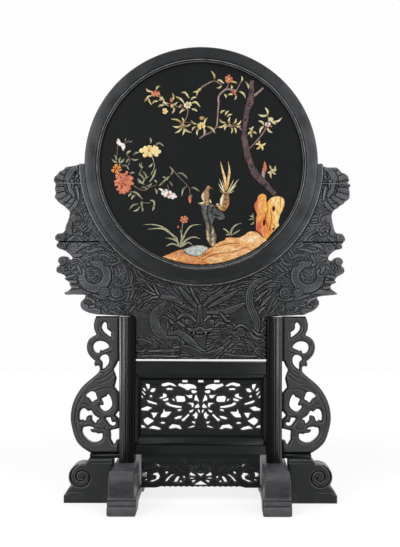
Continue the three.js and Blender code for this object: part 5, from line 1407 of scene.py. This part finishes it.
WING_STROKES = [
    # Mane lobes fan out from the head to the scalloped edge
    ([[256, 650], [264, 662], [270, 669]], (5, 10, 7), 7.0, "strands"),
    ([[260, 645], [274, 658], [283, 663]], (5, 11, 7), 7.2, "strands"),
    ([[262, 640], [280, 648], [292, 652]], (5, 11, 8), 7.4, "strands"),
    ([[263, 634], [282, 636], [296, 638]], (5, 11, 8), 7.2, "strands"),
    ([[263, 627], [282, 624], [296, 622]], (5, 11, 8), 7.4, "strands"),
    ([[262, 620], [279, 613], [294, 608]], (5, 11, 8), 7.2, "strands"),
    ([[259, 614], [272, 603], [285, 597]], (5, 11, 7), 7.4, "strands"),
    ([[254, 608], [264, 595], [273, 588]], (5, 10, 7), 7.0, "strands"),
    ([[246, 604], [252, 593], [262, 583]], (5, 9, 6), 7.0, "strands"),
    # Head in profile, brow and jaw
    ([[245, 668], [258, 662], [266, 646], [264, 628], [254, 612]], (7, 12, 14, 12, 6), 8.8, "round"),
    ([[247, 652], [254, 641], [256, 628]], (4, 6, 3), 9.0, "round"),
    ([[249, 630], [246, 616], [244, 603]], (4, 6, 3), 8.4, "round"),
    ([[272, 640], [270, 628], [267, 618]], (3, 5, 3), 8.6, "round"),
    # Body under the head
    ([[238, 565], [250, 570], [260, 562], [265, 549], [262, 537]], (8, 14, 14, 13, 9), 8.8, "scales"),
    ([[244, 556], [250, 551], [253, 541]], (4, 10, 5), 6.8, "scales"),
    ([[228, 548], [236, 540], [242, 527]], (3, 5, 5), 8.0, "round"),
    ([[224, 536], [233, 531], [242, 527]], (2, 4, 4), 8.0, "round"),
    ([[230, 518], [237, 522], [243, 527]], (2, 4, 4), 8.0, "round"),
    ([[254, 530], [262, 524], [268, 516]], (5, 8, 4), 7.4, "strands"),
    ([[192, 504], [207, 505], [222, 500], [236, 504]], (2, 6, 7, 3), 8.2, "strands"),
    ([[206, 518], [220, 516], [236, 512], [246, 504]], (2, 7, 8, 5), 7.2, "strands"),
    ([[270, 502], [262, 496], [250, 492], [238, 494]], (5, 9, 9, 3), 7.6, "strands"),
    # Blade from the pearl down to the loop, with fins at the edge
    ([[268, 474], [260, 460], [252, 446], [248, 436]], (3, 8, 7, 3), 8.4, "strands"),
    ([[256, 466], [248, 472], [240, 476]], (6, 7, 2), 6.6, "strands"),
    ([[254, 452], [264, 450], [272, 446]], (6, 6, 3), 7.2, "round"),
    ([[250, 440], [260, 440], [270, 441]], (6, 6, 3), 7.2, "round"),
    ([[246, 428], [256, 430], [264, 433]], (6, 6, 3), 7.2, "round"),
    ([[222, 418], [240, 421], [256, 419], [272, 417]], (5, 9, 8, 4), 8.0, "strands"),
    # Low cloud at the shoulder
    ([[240, 400], [236, 389], [222, 383], [205, 381]], (10, 19, 18, 9), 7.8, "flat"),
    ([[228, 408], [216, 402], [214, 392], [222, 390]], (5, 6, 6, 3), 8.6, "round"),
    ([[206, 398], [196, 392], [188, 382]], (4, 8, 4), 6.8, "strands"),
    # Stem of the ruyi heads
    ([[182, 408], [192, 406], [204, 410], [216, 414]], (3, 6, 6, 3), 7.4, "strands"),
    ([[152, 410], [160, 405], [172, 404], [184, 408]], (3, 6, 6, 3), 7.4, "strands"),
]
WING_SPIRALS = [
    # across, up, radius, top
    (281, 529, 9.5, 8.6), (278, 514, 7.5, 7.8), (256, 507, 11.0, 8.0), (240, 585, 6.5, 7.8),
    (281, 464, 8.5, 8.0),
    (194, 420, 10.5, 8.4), (168, 418, 11.0, 8.4), (177, 392, 8.0, 7.2), (160, 396, 7.0, 7.2),
]
WING_CLOUDS = [
    # across, up, size, lean in degrees, hand
    (206, 492, 7.5, 200, 1), (184, 476, 7.0, 160, -1), (166, 446, 6.5, 150, 1), (238, 478, 6.0, 20, -1),
    (246, 580, 6.0, 250, 1), (232, 526, 6.0, 200, -1), (192, 396, 6.0, 10, 1), (160, 380, 6.0, 30, -1),
    (250, 552, 5.5, 230, 1), (150, 430, 6.0, 190, 1), (262, 462, 4.5, 100, 1),
]
WING_CUTS = [
    ([[251, 660], [252, 646], [254, 630]], 3.2, 5.0),
    ([[270, 634], [269, 616]], 3.0, 4.5),
    ([[243, 627], [242, 612]], 2.6, 4.5),
    ([[258, 596], [266, 597], [272, 600]], 2.6, 4.0),
]
LOOP_CENTRE = (213, 452)
LOOP_RADIUS = 25.0


def carve_wing(relief, side):
    def at(points):
        return mirrored(points, side)

    cx, cz = LOOP_CENTRE

    def round_loop(across, up, angle):
        return [cx + across * math.cos(angle), cz + up * math.sin(angle)]

    for angle in np.radians(np.linspace(195, 335, 7)):
        ray = [round_loop(26, 25, angle), round_loop(46, 42, angle + 0.25)]
        relief.stroke(at(ray), (3, 3, 1.4), 6.0, "round", moat=0.6)
    for points, widths, top, kind in WING_STROKES:
        relief.stroke(at(points), widths, top, kind)
    loop = ring_points(cx, cz, LOOP_RADIUS, 60, 380, 14)
    relief.stroke(at(loop), (8, 17, 18, 18, 16, 12), 8.2, "flat", drop=4.2)
    for reach in (LOOP_RADIUS + 6.5, LOOP_RADIUS - 5.5):
        line = at(ring_points(cx, cz, reach, 75, 365, 14))
        relief.stroke(line, (1.4, 2.2, 2.2, 1.4), 8.8, "round", drop=0.8, moat=0.0)
    inner, outer = LOOP_RADIUS - 3.5, LOOP_RADIUS + 4.5
    for angle in np.radians(np.linspace(80, 360, 22)):
        relief.cut(at([round_loop(inner, inner, angle), round_loop(outer, outer, angle + 0.1)]), 2.2, 0.9)
    relief.stroke(at([[222, 474], [236, 478], [244, 470], [240, 458]]), (4, 10, 9, 5), 8.2, "strands")
    for hook, widths, rise in (([(-9, 7), (-2, 2), (8, -8)], (2, 5, 2), 5.6),
                               ([(7, 8), (2, 2), (-5, -8)], (2, 3, 2), 5.0)):
        relief.stroke(at([[cx + x, cz + z] for x, z in hook]), widths, rise, "round", moat=0.4)
    for x, z, size, lean, hand in WING_CLOUDS:
        angle = math.radians(lean if side > 0 else 180 - lean)
        cloud(relief, side * x, z, size, angle, hand * side)
    for x, z, radius, top in WING_SPIRALS:
        relief.spiral(side * x, z, radius, 1.8, side, z, top)
    relief.dome(side * 278, 482, 9.5, 9.0, 5.0)
    relief.dome(side * 258, 641, 3.6, 9.0, 3.0)
    for points, width, depth in WING_CUTS:
        relief.cut(at(points), width, depth)


CENTRE_STROKES = [
    # Coiled body at the left of the face
    ([[-60, 392], [-78, 388], [-91, 374], [-92, 354], [-82, 338], [-62, 331], [-38, 336]],
     (12, 18, 20, 20, 18, 14, 10), 8.8, "scales"),
    # Body that comes down from the right
    ([[130, 447], [108, 436], [98, 418], [97, 398], [103, 380], [111, 362], [111, 343]],
     (9, 14, 15, 15, 16, 17, 12), 8.8, "strands"),
    ([[143, 444], [126, 437], [110, 425]], (3, 7, 3), 8.2, "round"),
    ([[133, 423], [121, 414], [109, 402]], (3, 7, 3), 8.2, "round"),
    ([[139, 412], [129, 402], [120, 391]], (3, 7, 3), 8.0, "round"),
    ([[128, 390], [120, 384], [116, 376]], (3, 6, 3), 7.6, "round"),
    ([[98, 340], [106, 330], [120, 326]], (3, 5, 2), 7.8, "round"),
    ([[102, 346], [114, 336], [126, 334]], (3, 5, 2), 7.8, "round"),
    # Face: mass, beard, muzzle and brows
    ([[-2, 380], [-2, 356], [-1, 334]], (34, 50, 30), 6.0, "flat"),
    ([[-3, 336], [-1, 322], [3, 309]], (32, 24, 10), 6.2, "strands"),
    ([[-34, 352], [-46, 358], [-56, 352], [-58, 342]], (6, 7, 6, 3), 7.6, "strands"),
    ([[30, 352], [40, 358], [50, 356]], (6, 7, 3), 7.6, "strands"),
    ([[-2, 392], [-2, 376], [-2, 360]], (7, 10, 15), 8.6, "round"),
    ([[-47, 366], [-36, 374], [-21, 372], [-10, 361]], (3, 7, 7, 3), 9.0, "round"),
    ([[42, 364], [31, 373], [16, 371], [6, 361]], (3, 7, 7, 3), 9.0, "round"),
    ([[-26, 347], [-14, 343], [-2, 348], [10, 343], [22, 347]], (4, 7, 6, 7, 4), 8.8, "round"),
    # Mane and horns over the face
    ([[-9, 391], [-26, 408], [-36, 420], [-44, 431]], (6, 10, 9, 4), 8.4, "strands"),
    ([[-16, 383], [-34, 392], [-50, 396]], (5, 9, 4), 7.8, "strands"),
    ([[-5, 398], [-13, 412], [-20, 428]], (5, 7, 4), 8.0, "strands"),
    ([[6, 392], [17, 404], [34, 415], [56, 432]], (6, 9, 9, 4), 8.6, "strands"),
    ([[16, 390], [36, 401], [56, 412], [73, 424]], (5, 9, 9, 4), 8.2, "strands"),
    ([[14, 379], [40, 379], [62, 385], [86, 397]], (6, 13, 14, 5), 8.4, "scales"),
    ([[24, 372], [44, 371], [58, 374]], (5, 8, 3), 7.4, "strands"),
    ([[39, 378], [47, 368], [53, 362], [61, 363]], (4, 6, 5, 2), 8.8, "round"),
    # Forearm and talons
    ([[-40, 398], [-54, 406], [-72, 410], [-88, 413]], (8, 10, 9, 7), 8.6, "scales"),
    ([[-84, 412], [-96, 423], [-109, 438]], (5, 4, 2), 9.0, "round"),
    ([[-86, 412], [-102, 419], [-115, 426]], (5, 4, 2), 9.0, "round"),
    ([[-84, 413], [-90, 426], [-97, 439]], (5, 4, 2), 9.0, "round"),
    ([[-86, 410], [-98, 408], [-106, 400]], (4, 4, 2), 8.6, "round"),
    ([[-62, 364], [-55, 356], [-52, 346]], (4, 5, 3), 8.2, "round"),
    # Tail strands and waves along the foot of the tongue
    ([[-64, 336], [-42, 338], [-22, 323], [-4, 306], [12, 297], [30, 297]], (6, 11, 14, 13, 10, 4), 8.8,
     "strands"),
    ([[-62, 305], [-38, 309], [-16, 303], [3, 293], [24, 297], [44, 309]], (4, 10, 14, 15, 13, 5), 8.2,
     "flat"),
    ([[-106, 302], [-70, 302], [-44, 304]], (2, 7, 5), 7.4, "strands"),
    ([[-118, 292], [-80, 292], [-44, 291]], (3, 6, 4), 6.6, "strands"),
    ([[48, 296], [76, 292], [112, 292]], (4, 7, 3), 6.6, "strands"),
    ([[64, 345], [80, 354], [98, 344]], (2, 5, 2), 8.2, "round"),
    ([[54, 308], [68, 318], [84, 314], [100, 304]], (3, 7, 7, 3), 8.0, "strands"),
]
CENTRE_SPIRALS = [
    (-90, 314, 7.0, 8.0), (-64, 319, 7.0, 7.8), (-38, 318, 5.5, 7.6), (-116, 320, 7.0, 7.4),
    (-50, 354, 6.0, 7.6),
    (49, 342, 7.5, 8.2), (80, 340, 9.0, 8.4), (44, 326, 8.0, 8.0), (70, 325, 9.0, 8.2), (22, 321, 4.0, 7.6),
    (34, 313, 5.0, 7.6), (115, 303, 7.5, 8.0), (92, 310, 6.0, 7.4), (4, 410, 8.0, 7.6), (-65, 391, 7.0, 8.6),
]
CENTRE_CLOUDS = [
    (-124, 424, 6.5, 190, 1), (-136, 398, 6.0, 170, -1), (-104, 386, 5.5, 200, 1), (-128, 304, 6.0, 10, 1),
    (-96, 296, 5.5, 0, -1), (128, 312, 6.0, 190, -1), (84, 304, 5.5, 180, 1), (130, 350, 6.0, 250, 1),
    (126, 372, 5.5, 230, -1), (78, 404, 5.0, 20, 1), (64, 360, 6.0, 330, 1), (-70, 430, 6.0, 150, -1),
    (30, 436, 5.5, 60, 1), (-104, 452, 5.5, 160, 1), (60, 452, 5.5, 40, -1), (150, 452, 6.0, 30, 1),
    (-24, 440, 5.0, 120, 1),
]
EYES = ((-27, 361), (22, 360))
NOSTRILS = ((-10, 354), (7, 354))
FANGS = ((-14, 341), (10, 341))


def carve_centre(relief):
    water(relief, -134.0, -92.0, 330.0, 382.0)
    water(relief, 60.0, 96.0, 350.0, 384.0)
    for x, z, size, lean, hand in CENTRE_CLOUDS:
        cloud(relief, x, z, size, math.radians(lean), hand)
    for points, widths, top, kind in CENTRE_STROKES:
        relief.stroke(points, widths, top, kind, count=4)
    for x, z, radius, top in CENTRE_SPIRALS:
        relief.spiral(x, z, radius, 1.7, 1 if x > 0 else -1, z, top)
    relief.cut([[-20, 338], [-2, 335], [16, 338]], 5.0, 4.0)
    for x, z in FANGS:
        relief.stroke([[x, z], [x, z - 9]], (5, 1.5), 8.6, "round", moat=0.8)
    for x, z in EYES:
        relief.dome(x, z, 5.0, 8.0, 2.4, 1.0)
    for x, z in NOSTRILS:
        relief.spiral(x, z, 5.0, 1.2, -1 if x < 0 else 1, 0.0, 9.0)


CARVING_LOW, CARVING_HIGH = (-302.0, 282.0), (302.0, 682.0)
GLUE_LOW, GLUE_HIGH = 520.0, 639.0
GLUE_LOW_FROM, GLUE_LOW_TO = 204.0, 292.0
GLUE_HIGH_FROM, GLUE_HIGH_TO = 238.0, 291.0
LIP_EDGE = 2.4
LIP_WIDTH = 10.5


def carve_cradle():
    relief = Relief(np.array(CARVING_LOW), np.array(CARVING_HIGH), 1.0, RELIEF_DEPTH, 2.0)
    flow_filling(relief, 7)
    for side in (-1, 1):
        carve_wing(relief, side)
    carve_centre(relief)
    x, z = np.meshgrid(relief.x, relief.z)
    radius = np.hypot(x, z - DISC_Z)
    lip = CRESCENT_RADIUS + LIP_WIDTH
    edge = np.abs(radius - (CRESCENT_RADIUS + lip) / 2) / ((lip - CRESCENT_RADIUS) / 2)
    relief.h = np.where(radius < lip + 2.2, np.minimum(relief.h, 2.6), relief.h)
    relief.h = np.where(radius < lip, RELIEF_DEPTH - 0.5 * np.clip(edge, 0, 1) ** 3, relief.h)
    # A painted highlight along the lip's outer edge, and the rest of the lip painted darker.
    relief.shine += np.where((radius < lip) & (radius > lip - LIP_EDGE), 0.6, 0.0)
    relief.shine -= np.where(radius < lip - LIP_EDGE, 0.23, 0.0)
    width = 2.4
    line = GLUE_HIGH - width
    for side in (-1, 1):
        x0, x1 = sorted((side * GLUE_HIGH_FROM, side * GLUE_HIGH_TO))
        relief.stroke([[x0, line], [x1, line]], (width, width), 8.8, "flat", drop=1.4, moat=0.0)
        # A painted highlight along the raised strip of the upper glue line.
        relief.shine += np.where((np.abs(z - line) < 1.1) & (x > x0) & (x < x1), 0.5, 0.0)
        relief.cut([[side * GLUE_LOW_FROM, GLUE_LOW], [side * GLUE_LOW_TO, GLUE_LOW]], 3.6, 5.0)
        # The lower glue joint's groove is painted dark.
        relief.shine -= np.where((np.abs(z - GLUE_LOW) < 1.2) & (np.abs(x) > GLUE_LOW_FROM), 0.5, 0.0)
    return relief


def cradle_edges(segments):
    """Splits an outline into its carved edge, its glue joints and the crescent."""
    middle = (segments[:, :2] + segments[:, 2:]) / 2
    level = np.abs(segments[:, 1] - segments[:, 3]) < 0.01
    joints = [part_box("cradle_base_board")[1].z / MM, *(v.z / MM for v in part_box("cradle_left_wing")),
              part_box("cradle_left_tip")[0].z / MM]
    on_joint = level & (np.abs(middle[:, 1, None] - np.array(joints)[None, :]).min(1) < 0.05)
    on_seat = np.abs(np.hypot(middle[:, 0], middle[:, 1] - DISC_Z) - CRESCENT_RADIUS) < 0.8
    return segments[~on_joint & ~on_seat], segments[on_joint | on_seat]


def cradle_dust_and_light(x, z):
    """How grey the cradle is, as dust and as painted light from the side lamps: its wings most of all, its
    lip less.
    """
    on_lip = np.hypot(x, z - DISC_Z) < CRESCENT_RADIUS + LIP_WIDTH
    return np.clip((np.abs(x) - 130) / 110, 0, 1) * np.where(on_lip, 0.5, 1.0)


TENON_HALF = 6.0
TENON_REACH = 7.0
TENON_TOP = 370.3


def make_cradle():
    relief = carve_cradle()
    low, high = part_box("cradle_base_board")
    front, back = low.y / MM, high.y / MM
    slot = RIB_HALF + SLIDE_GAP
    levels = [(-slot - 0.05, 0.0), (-slot, RIB_HEIGHT), (slot, RIB_HEIGHT), (slot + 0.05, 0.0)]
    tongue_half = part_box("right_post")[0].x / MM - SLIDE_GAP
    tenons = [(*sorted((side * tongue_half, side * (tongue_half + TENON_REACH))), -TENON_HALF, TENON_HALF,
               low.z / MM, TENON_TOP) for side in (1, -1)]
    for node in ("cradle_base_board", "cradle_left_wing", "cradle_right_wing", "cradle_left_tip",
                 "cradle_right_tip"):
        loops = cap_loops(node, 1, far=True)
        carved_edge, plain_edge = cradle_edges(segments_of(loops))
        edges = [(carved_edge, 4.5), (plain_edge, 1.0)]
        extra = tenons if node == "cradle_base_board" else ()
        carved(node, relief, loops, front, back, edges, "cradle", "carved_wood", levels=levels, extra=extra,
               tint=cradle_dust_and_light)


make_cradle()


# Stand: pierced panel, apron, brackets and feet


def set_in_stand(node, relief, front, back, rounding, look, wear_and_light=0.22):
    loops = cap_loops(node, 1)
    edges = [(segments_of(loops), rounding)]
    carved(node, relief, loops, front, back, edges, "stand", look, both=True, wear_and_light=wear_and_light)


def netted(relief, half, low, high, pitch, depth):
    """Cuts a fine net of scales into what lies less than half from the middle and between two levels."""
    x, z = np.meshgrid(relief.x, relief.z)
    field = (np.abs(x) < half) & (z > low) & (z < high)
    warp_x = x + 1.5 * np.sin(z / 6.0)
    warp_z = z + 1.5 * np.sin(x / 7.0)
    net = np.minimum(np.abs(np.sin(math.pi * (warp_x + warp_z) / pitch)),
                     np.abs(np.sin(math.pi * (warp_x - warp_z) / pitch)))
    relief.h -= np.where(field, depth * (1 - np.clip(net / 0.4, 0, 1)), 0.0)


def relief_for(node, step, depth):
    low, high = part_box(node)
    corner_low = np.array([low.x, low.z]) / MM - 3 * step
    corner_high = np.array([high.x, high.z]) / MM + 3 * step
    return Relief(corner_low, corner_high, step, depth, depth), low.y / MM, high.y / MM


def make_panel():
    relief, front, back = relief_for("pierced_panel", 0.8, 3.0)
    low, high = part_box("pierced_panel")
    bottom, top = low.z / MM, high.z / MM
    netted(relief, 118.0, bottom + 16, top - 16, 4.6, 0.9)
    for side in (-1, 1):
        border = [[0, top - 12], [side * 121, top - 12], [side * 121, bottom + 13], [0, bottom + 13]]
        for a, b in zip(border[:-1], border[1:]):
            relief.cut([a, b], 2.0, 0.9)
    set_in_stand("pierced_panel", relief, front, back, 2.0, "panel_wood")


APRON_VEINS = [
    # across, up from the apron's foot, then how far it runs across and up
    (34, 34, 22, 12), (52, 36, 24, 10), (66, 40, 20, 8), (88, 50, 20, -10), (100, 34, 12, -8),
    (30, 20, 16, -8),
    (56, 14, 18, 12), (78, 22, 14, 18), (18, 40, 14, 12), (108, 46, 10, -14),
]


def make_apron():
    relief, front, back = relief_for("apron", 0.8, 4.0)
    low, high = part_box("apron")
    bottom, top = low.z / MM, high.z / MM
    relief.cut([[-118, top - 13], [118, top - 13]], 2.2, 1.6)
    for angle in np.radians(np.linspace(15, 165, 11)):
        start = [6 * math.cos(angle), bottom + 32 + 4 * math.sin(angle)]
        end = [24 * math.cos(angle), bottom + 32 + 19 * math.sin(angle)]
        relief.cut([start, end], 2.6, 1.8)
    for side in (-1, 1):
        for x, z, span, lift in APRON_VEINS:
            relief.cut([[side * x, bottom + z], [side * (x + span / 2), bottom + z + lift * 0.75],
                        [side * (x + span), bottom + z + lift]], 2.4, 1.7)
        relief.spiral(side * 96, bottom + 22, 6.5, 1.5, side, 0.0, 3.9, 2.2, 0.0)
    set_in_stand("apron", relief, front, back, 2.4, "panel_wood")


SIDES = ((-1, "left"), (1, "right"))
BRACKET_VEINS = [
    [[168, 262], [178, 250], [190, 241], [203, 236]],
    [[172, 268], [184, 256], [198, 247], [214, 244]],
    [[172, 225], [184, 228], [198, 227], [210, 221]],
    [[204, 232], [222, 224], [238, 210], [248, 190], [252, 166], [248, 142], [238, 122], [222, 112]],
    [[206, 262], [196, 258], [186, 262]],
    [[178, 300], [190, 297], [203, 291]],
    [[222, 312], [220, 322], [210, 328]],
    [[203, 350], [205, 342], [198, 334], [186, 325]],
    [[176, 180], [188, 175], [203, 178], [214, 188]],
    [[190, 150], [198, 146], [208, 148]],
    [[186, 130], [188, 140], [194, 148]],
    [[224, 190], [230, 196], [238, 196]],
]


def make_brackets():
    for side, word in SIDES:
        node = word + "_scroll_bracket"
        relief, front, back = relief_for(node, 0.9, 5.0)
        for vein in BRACKET_VEINS:
            relief.cut(mirrored(vein, side), 2.4, 1.8)
        set_in_stand(node, relief, front, back, 6.0, "bracket_wood", wear_and_light=0.12)


COIL_SET_IN = 35.5
COIL_Z = 52.0
COIL_TURNS = 1.7
COIL_INNER = 5.0
COIL_OUTER = 24.0


def make_scroll_feet():
    for side, word in SIDES:
        node = word + "_scroll_foot"
        relief, front, back = relief_for(node, 1.0, 6.0)
        low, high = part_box(node)
        toe = max(abs(low.x), abs(high.x)) / MM
        cx, cz = toe - COIL_SET_IN, COIL_Z
        angle = np.linspace(0, 2 * math.pi * COIL_TURNS, 30)
        radius = COIL_INNER + (COIL_OUTER - COIL_INNER) * angle / angle[-1]
        start = math.radians(70) - angle[-1]
        way = angle + start
        coil = np.stack([side * (cx + radius * np.cos(way)), cz + radius * np.sin(way)], 1)
        relief.cut(coil, 4.4, 3.6, 2)
        run = coil[-1]
        relief.cut([run, [run[0] - side * 6, run[1] + 6], [run[0] - side * 14, run[1] + 7]], 3.0, 2.2)
        relief.cut([[side * (toe - 55), high.z / MM - 7], [side * 178, high.z / MM - 7]], 2.2, 1.5)
        relief.cut([[side * (toe - 4), 20], [side * (toe - 16), 24], [side * (toe - 34), 23]], 3.0, 2.4)
        set_in_stand(node, relief, front, back, 3.4, "scroll_wood")


GROOVED_FROM = 100.0
GROOVE_LEVELS = (29.4, 19.4)
GROOVE_HALF = 1.5
GROOVE_DEPTH = 5.0
FOOT_CORNER = 2.4
FOOT_ROUNDING = 4.0
FOOT_STEP = 32.0


def grooved(loop, levels, half):
    """A [y, z] outline with the corners of level grooves at both ends, and 1 for each corner inside one."""
    loop = np.column_stack([loop, np.zeros(len(loop))])
    for level in levels:
        rows = []
        for p, q in zip(loop, np.roll(loop, -1, 0)):
            if abs(p[1] - level) >= half or abs(p[0]) < GROOVED_FROM:
                rows.append(p)
            if min(abs(p[0]), abs(q[0])) < GROOVED_FROM or p[1] == q[1]:
                continue
            rising = 1 if q[1] > p[1] else -1
            for lip in (-rising * half, rising * half):
                share = (level + lip - p[1]) / (q[1] - p[1])
                if 0 < share <= 1:
                    edge = p + share * (q - p)
                    edge[2] = 0.0
                    inner = edge + [0.0, -0.15 * lip, 1.0]
                    rows += [edge, inner] if lip * rising < 0 else [inner, edge]
        loop = np.array(rows)
    return loop[:, :2], loop[:, 2]


def make_shoe_feet():
    for _, word in SIDES:
        node = word + "_shoe_foot"
        low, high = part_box(node)
        loop = max(cap_loops(node, 0), key=len)
        loop, inside = grooved(softened(loop, FOOT_CORNER), GROOVE_LEVELS, GROOVE_HALF)
        rounded_prism(node, loop, low.x / MM, high.x / MM, FOOT_ROUNDING,
                      lambda z: np.interp(z, [FOOT_STEP - 1, FOOT_STEP + 3, 60, 90], [1.0, 0.9, 0.9, 0.86]),
                      "stand", "foot_wood", GROOVE_DEPTH * inside)


make_panel()
make_apron()
make_brackets()
make_scroll_feet()
make_shoe_feet()


# Stage: a white surrounding, and a pale floor that fades into it and keeps the object's shadow

BACKGROUND_WHITE = 0.985
WORLD_LIGHT = 0.27
FLOOR_REACH = 30.0
FADE = (0.8, 3.2)
NEAR_GLOW = 1.5
NEAR_SHARE = 0.5
WHITE = (1.0, 1.0, 1.0)


def seen_directly(tree):
    """1 for camera, glossy and transmission rays, which see the surrounding's white and not its light."""
    path = added(tree, "ShaderNodeLightPath").outputs
    either = calculated(tree, "MAXIMUM", path["Is Camera Ray"], path["Is Glossy Ray"])
    return calculated(tree, "MAXIMUM", either, path["Is Transmission Ray"])


def blended(tree, share, first, second, end):
    """Mixes two shaders and gives the result to the tree's output."""
    node = added(tree, "ShaderNodeMixShader", {0: share, 1: first, 2: second})
    tree.links.new(node.outputs["Shader"], tree.nodes[end].inputs["Surface"])


def make_stage():
    mesh = bpy.data.meshes.new("floor")
    points = [(x * FLOOR_REACH, y * FLOOR_REACH, 0.0) for x, y in ((-1, -1), (1, -1), (1, 1), (-1, 1))]
    mesh.from_pydata(points, [], [(0, 1, 2, 3)])
    floor = bpy.data.objects.new("floor", mesh)
    bpy.context.scene.collection.objects.link(floor)
    material, tree, shader = new_material("pale_floor")
    feed(tree, shader.inputs["Base Color"], grey(0.9))
    feed(tree, shader.inputs["Roughness"], 0.9)
    away = added(tree, "ShaderNodeVectorMath", {0: stretched(tree)}, operation="LENGTH").outputs["Value"]
    strength = mapped(tree, away, *FADE, NEAR_GLOW, BACKGROUND_WHITE)
    glow = added(tree, "ShaderNodeEmission", {"Strength": strength})
    share = multiplied(tree, mapped(tree, away, *FADE, NEAR_SHARE, 1.0), seen_directly(tree))
    blended(tree, share, shader.outputs["BSDF"], glow.outputs["Emission"], "Material Output")
    mesh.materials.append(material)


def make_world():
    world = bpy.data.worlds.new("world")
    world.use_nodes = True
    tree = world.node_tree
    light, white = (added(tree, "ShaderNodeBackground", {"Color": WHITE, "Strength": level})
                    for level in (WORLD_LIGHT, BACKGROUND_WHITE))
    blended(tree, seen_directly(tree), light.outputs["Background"], white.outputs["Background"],
            "World Output")
    bpy.context.scene.world = world


def area_light(name, place, target, size, power):
    light = bpy.data.lights.new(name, "AREA")
    light.shape = "RECTANGLE"
    light.size, light.size_y = size
    light.energy = power
    item = bpy.data.objects.new(name, light)
    bpy.context.scene.collection.objects.link(item)
    item.location = place
    item.visible_camera = False
    item.rotation_euler = (Vector(target) - Vector(place)).to_track_quat("-Z", "Y").to_euler()


make_stage()
MIDDLE = (0.0, 0.0, 0.46)
for side, word, power in ((-1, "left", 24.0), (1, "right", 17.0)):
    area_light(word + "_softbox", (side * 1.25, -2.2, 0.9), (side * 0.1, 0.0, 0.5), (0.55, 1.8), power)
area_light("top_light", (0.0, -1.6, 2.4), MIDDLE, (2.4, 0.8), 15.0)
area_light("back_light", (0.0, 2.4, 2.0), MIDDLE, (2.0, 0.6), 8.0)
make_world()

camera = bpy.data.cameras.new("camera")
camera.sensor_width = SENSOR_MM
camera.shift_x = -(CAMERA_X - AIM_X) / PICTURE_REACH
camera.lens = SENSOR_MM * (CAMERA_DISTANCE - SCALE_PLANE) / PICTURE_REACH
camera_item = bpy.data.objects.new("camera", camera)
camera_item.location = (CAMERA_X, -CAMERA_DISTANCE, CAMERA_HEIGHT)
camera_item.rotation_euler = (math.pi / 2, CAMERA_ROLL, 0.0)
bpy.context.scene.collection.objects.link(camera_item)
bpy.context.scene.camera = camera_item
bpy.context.scene.view_settings.view_transform = "Standard"
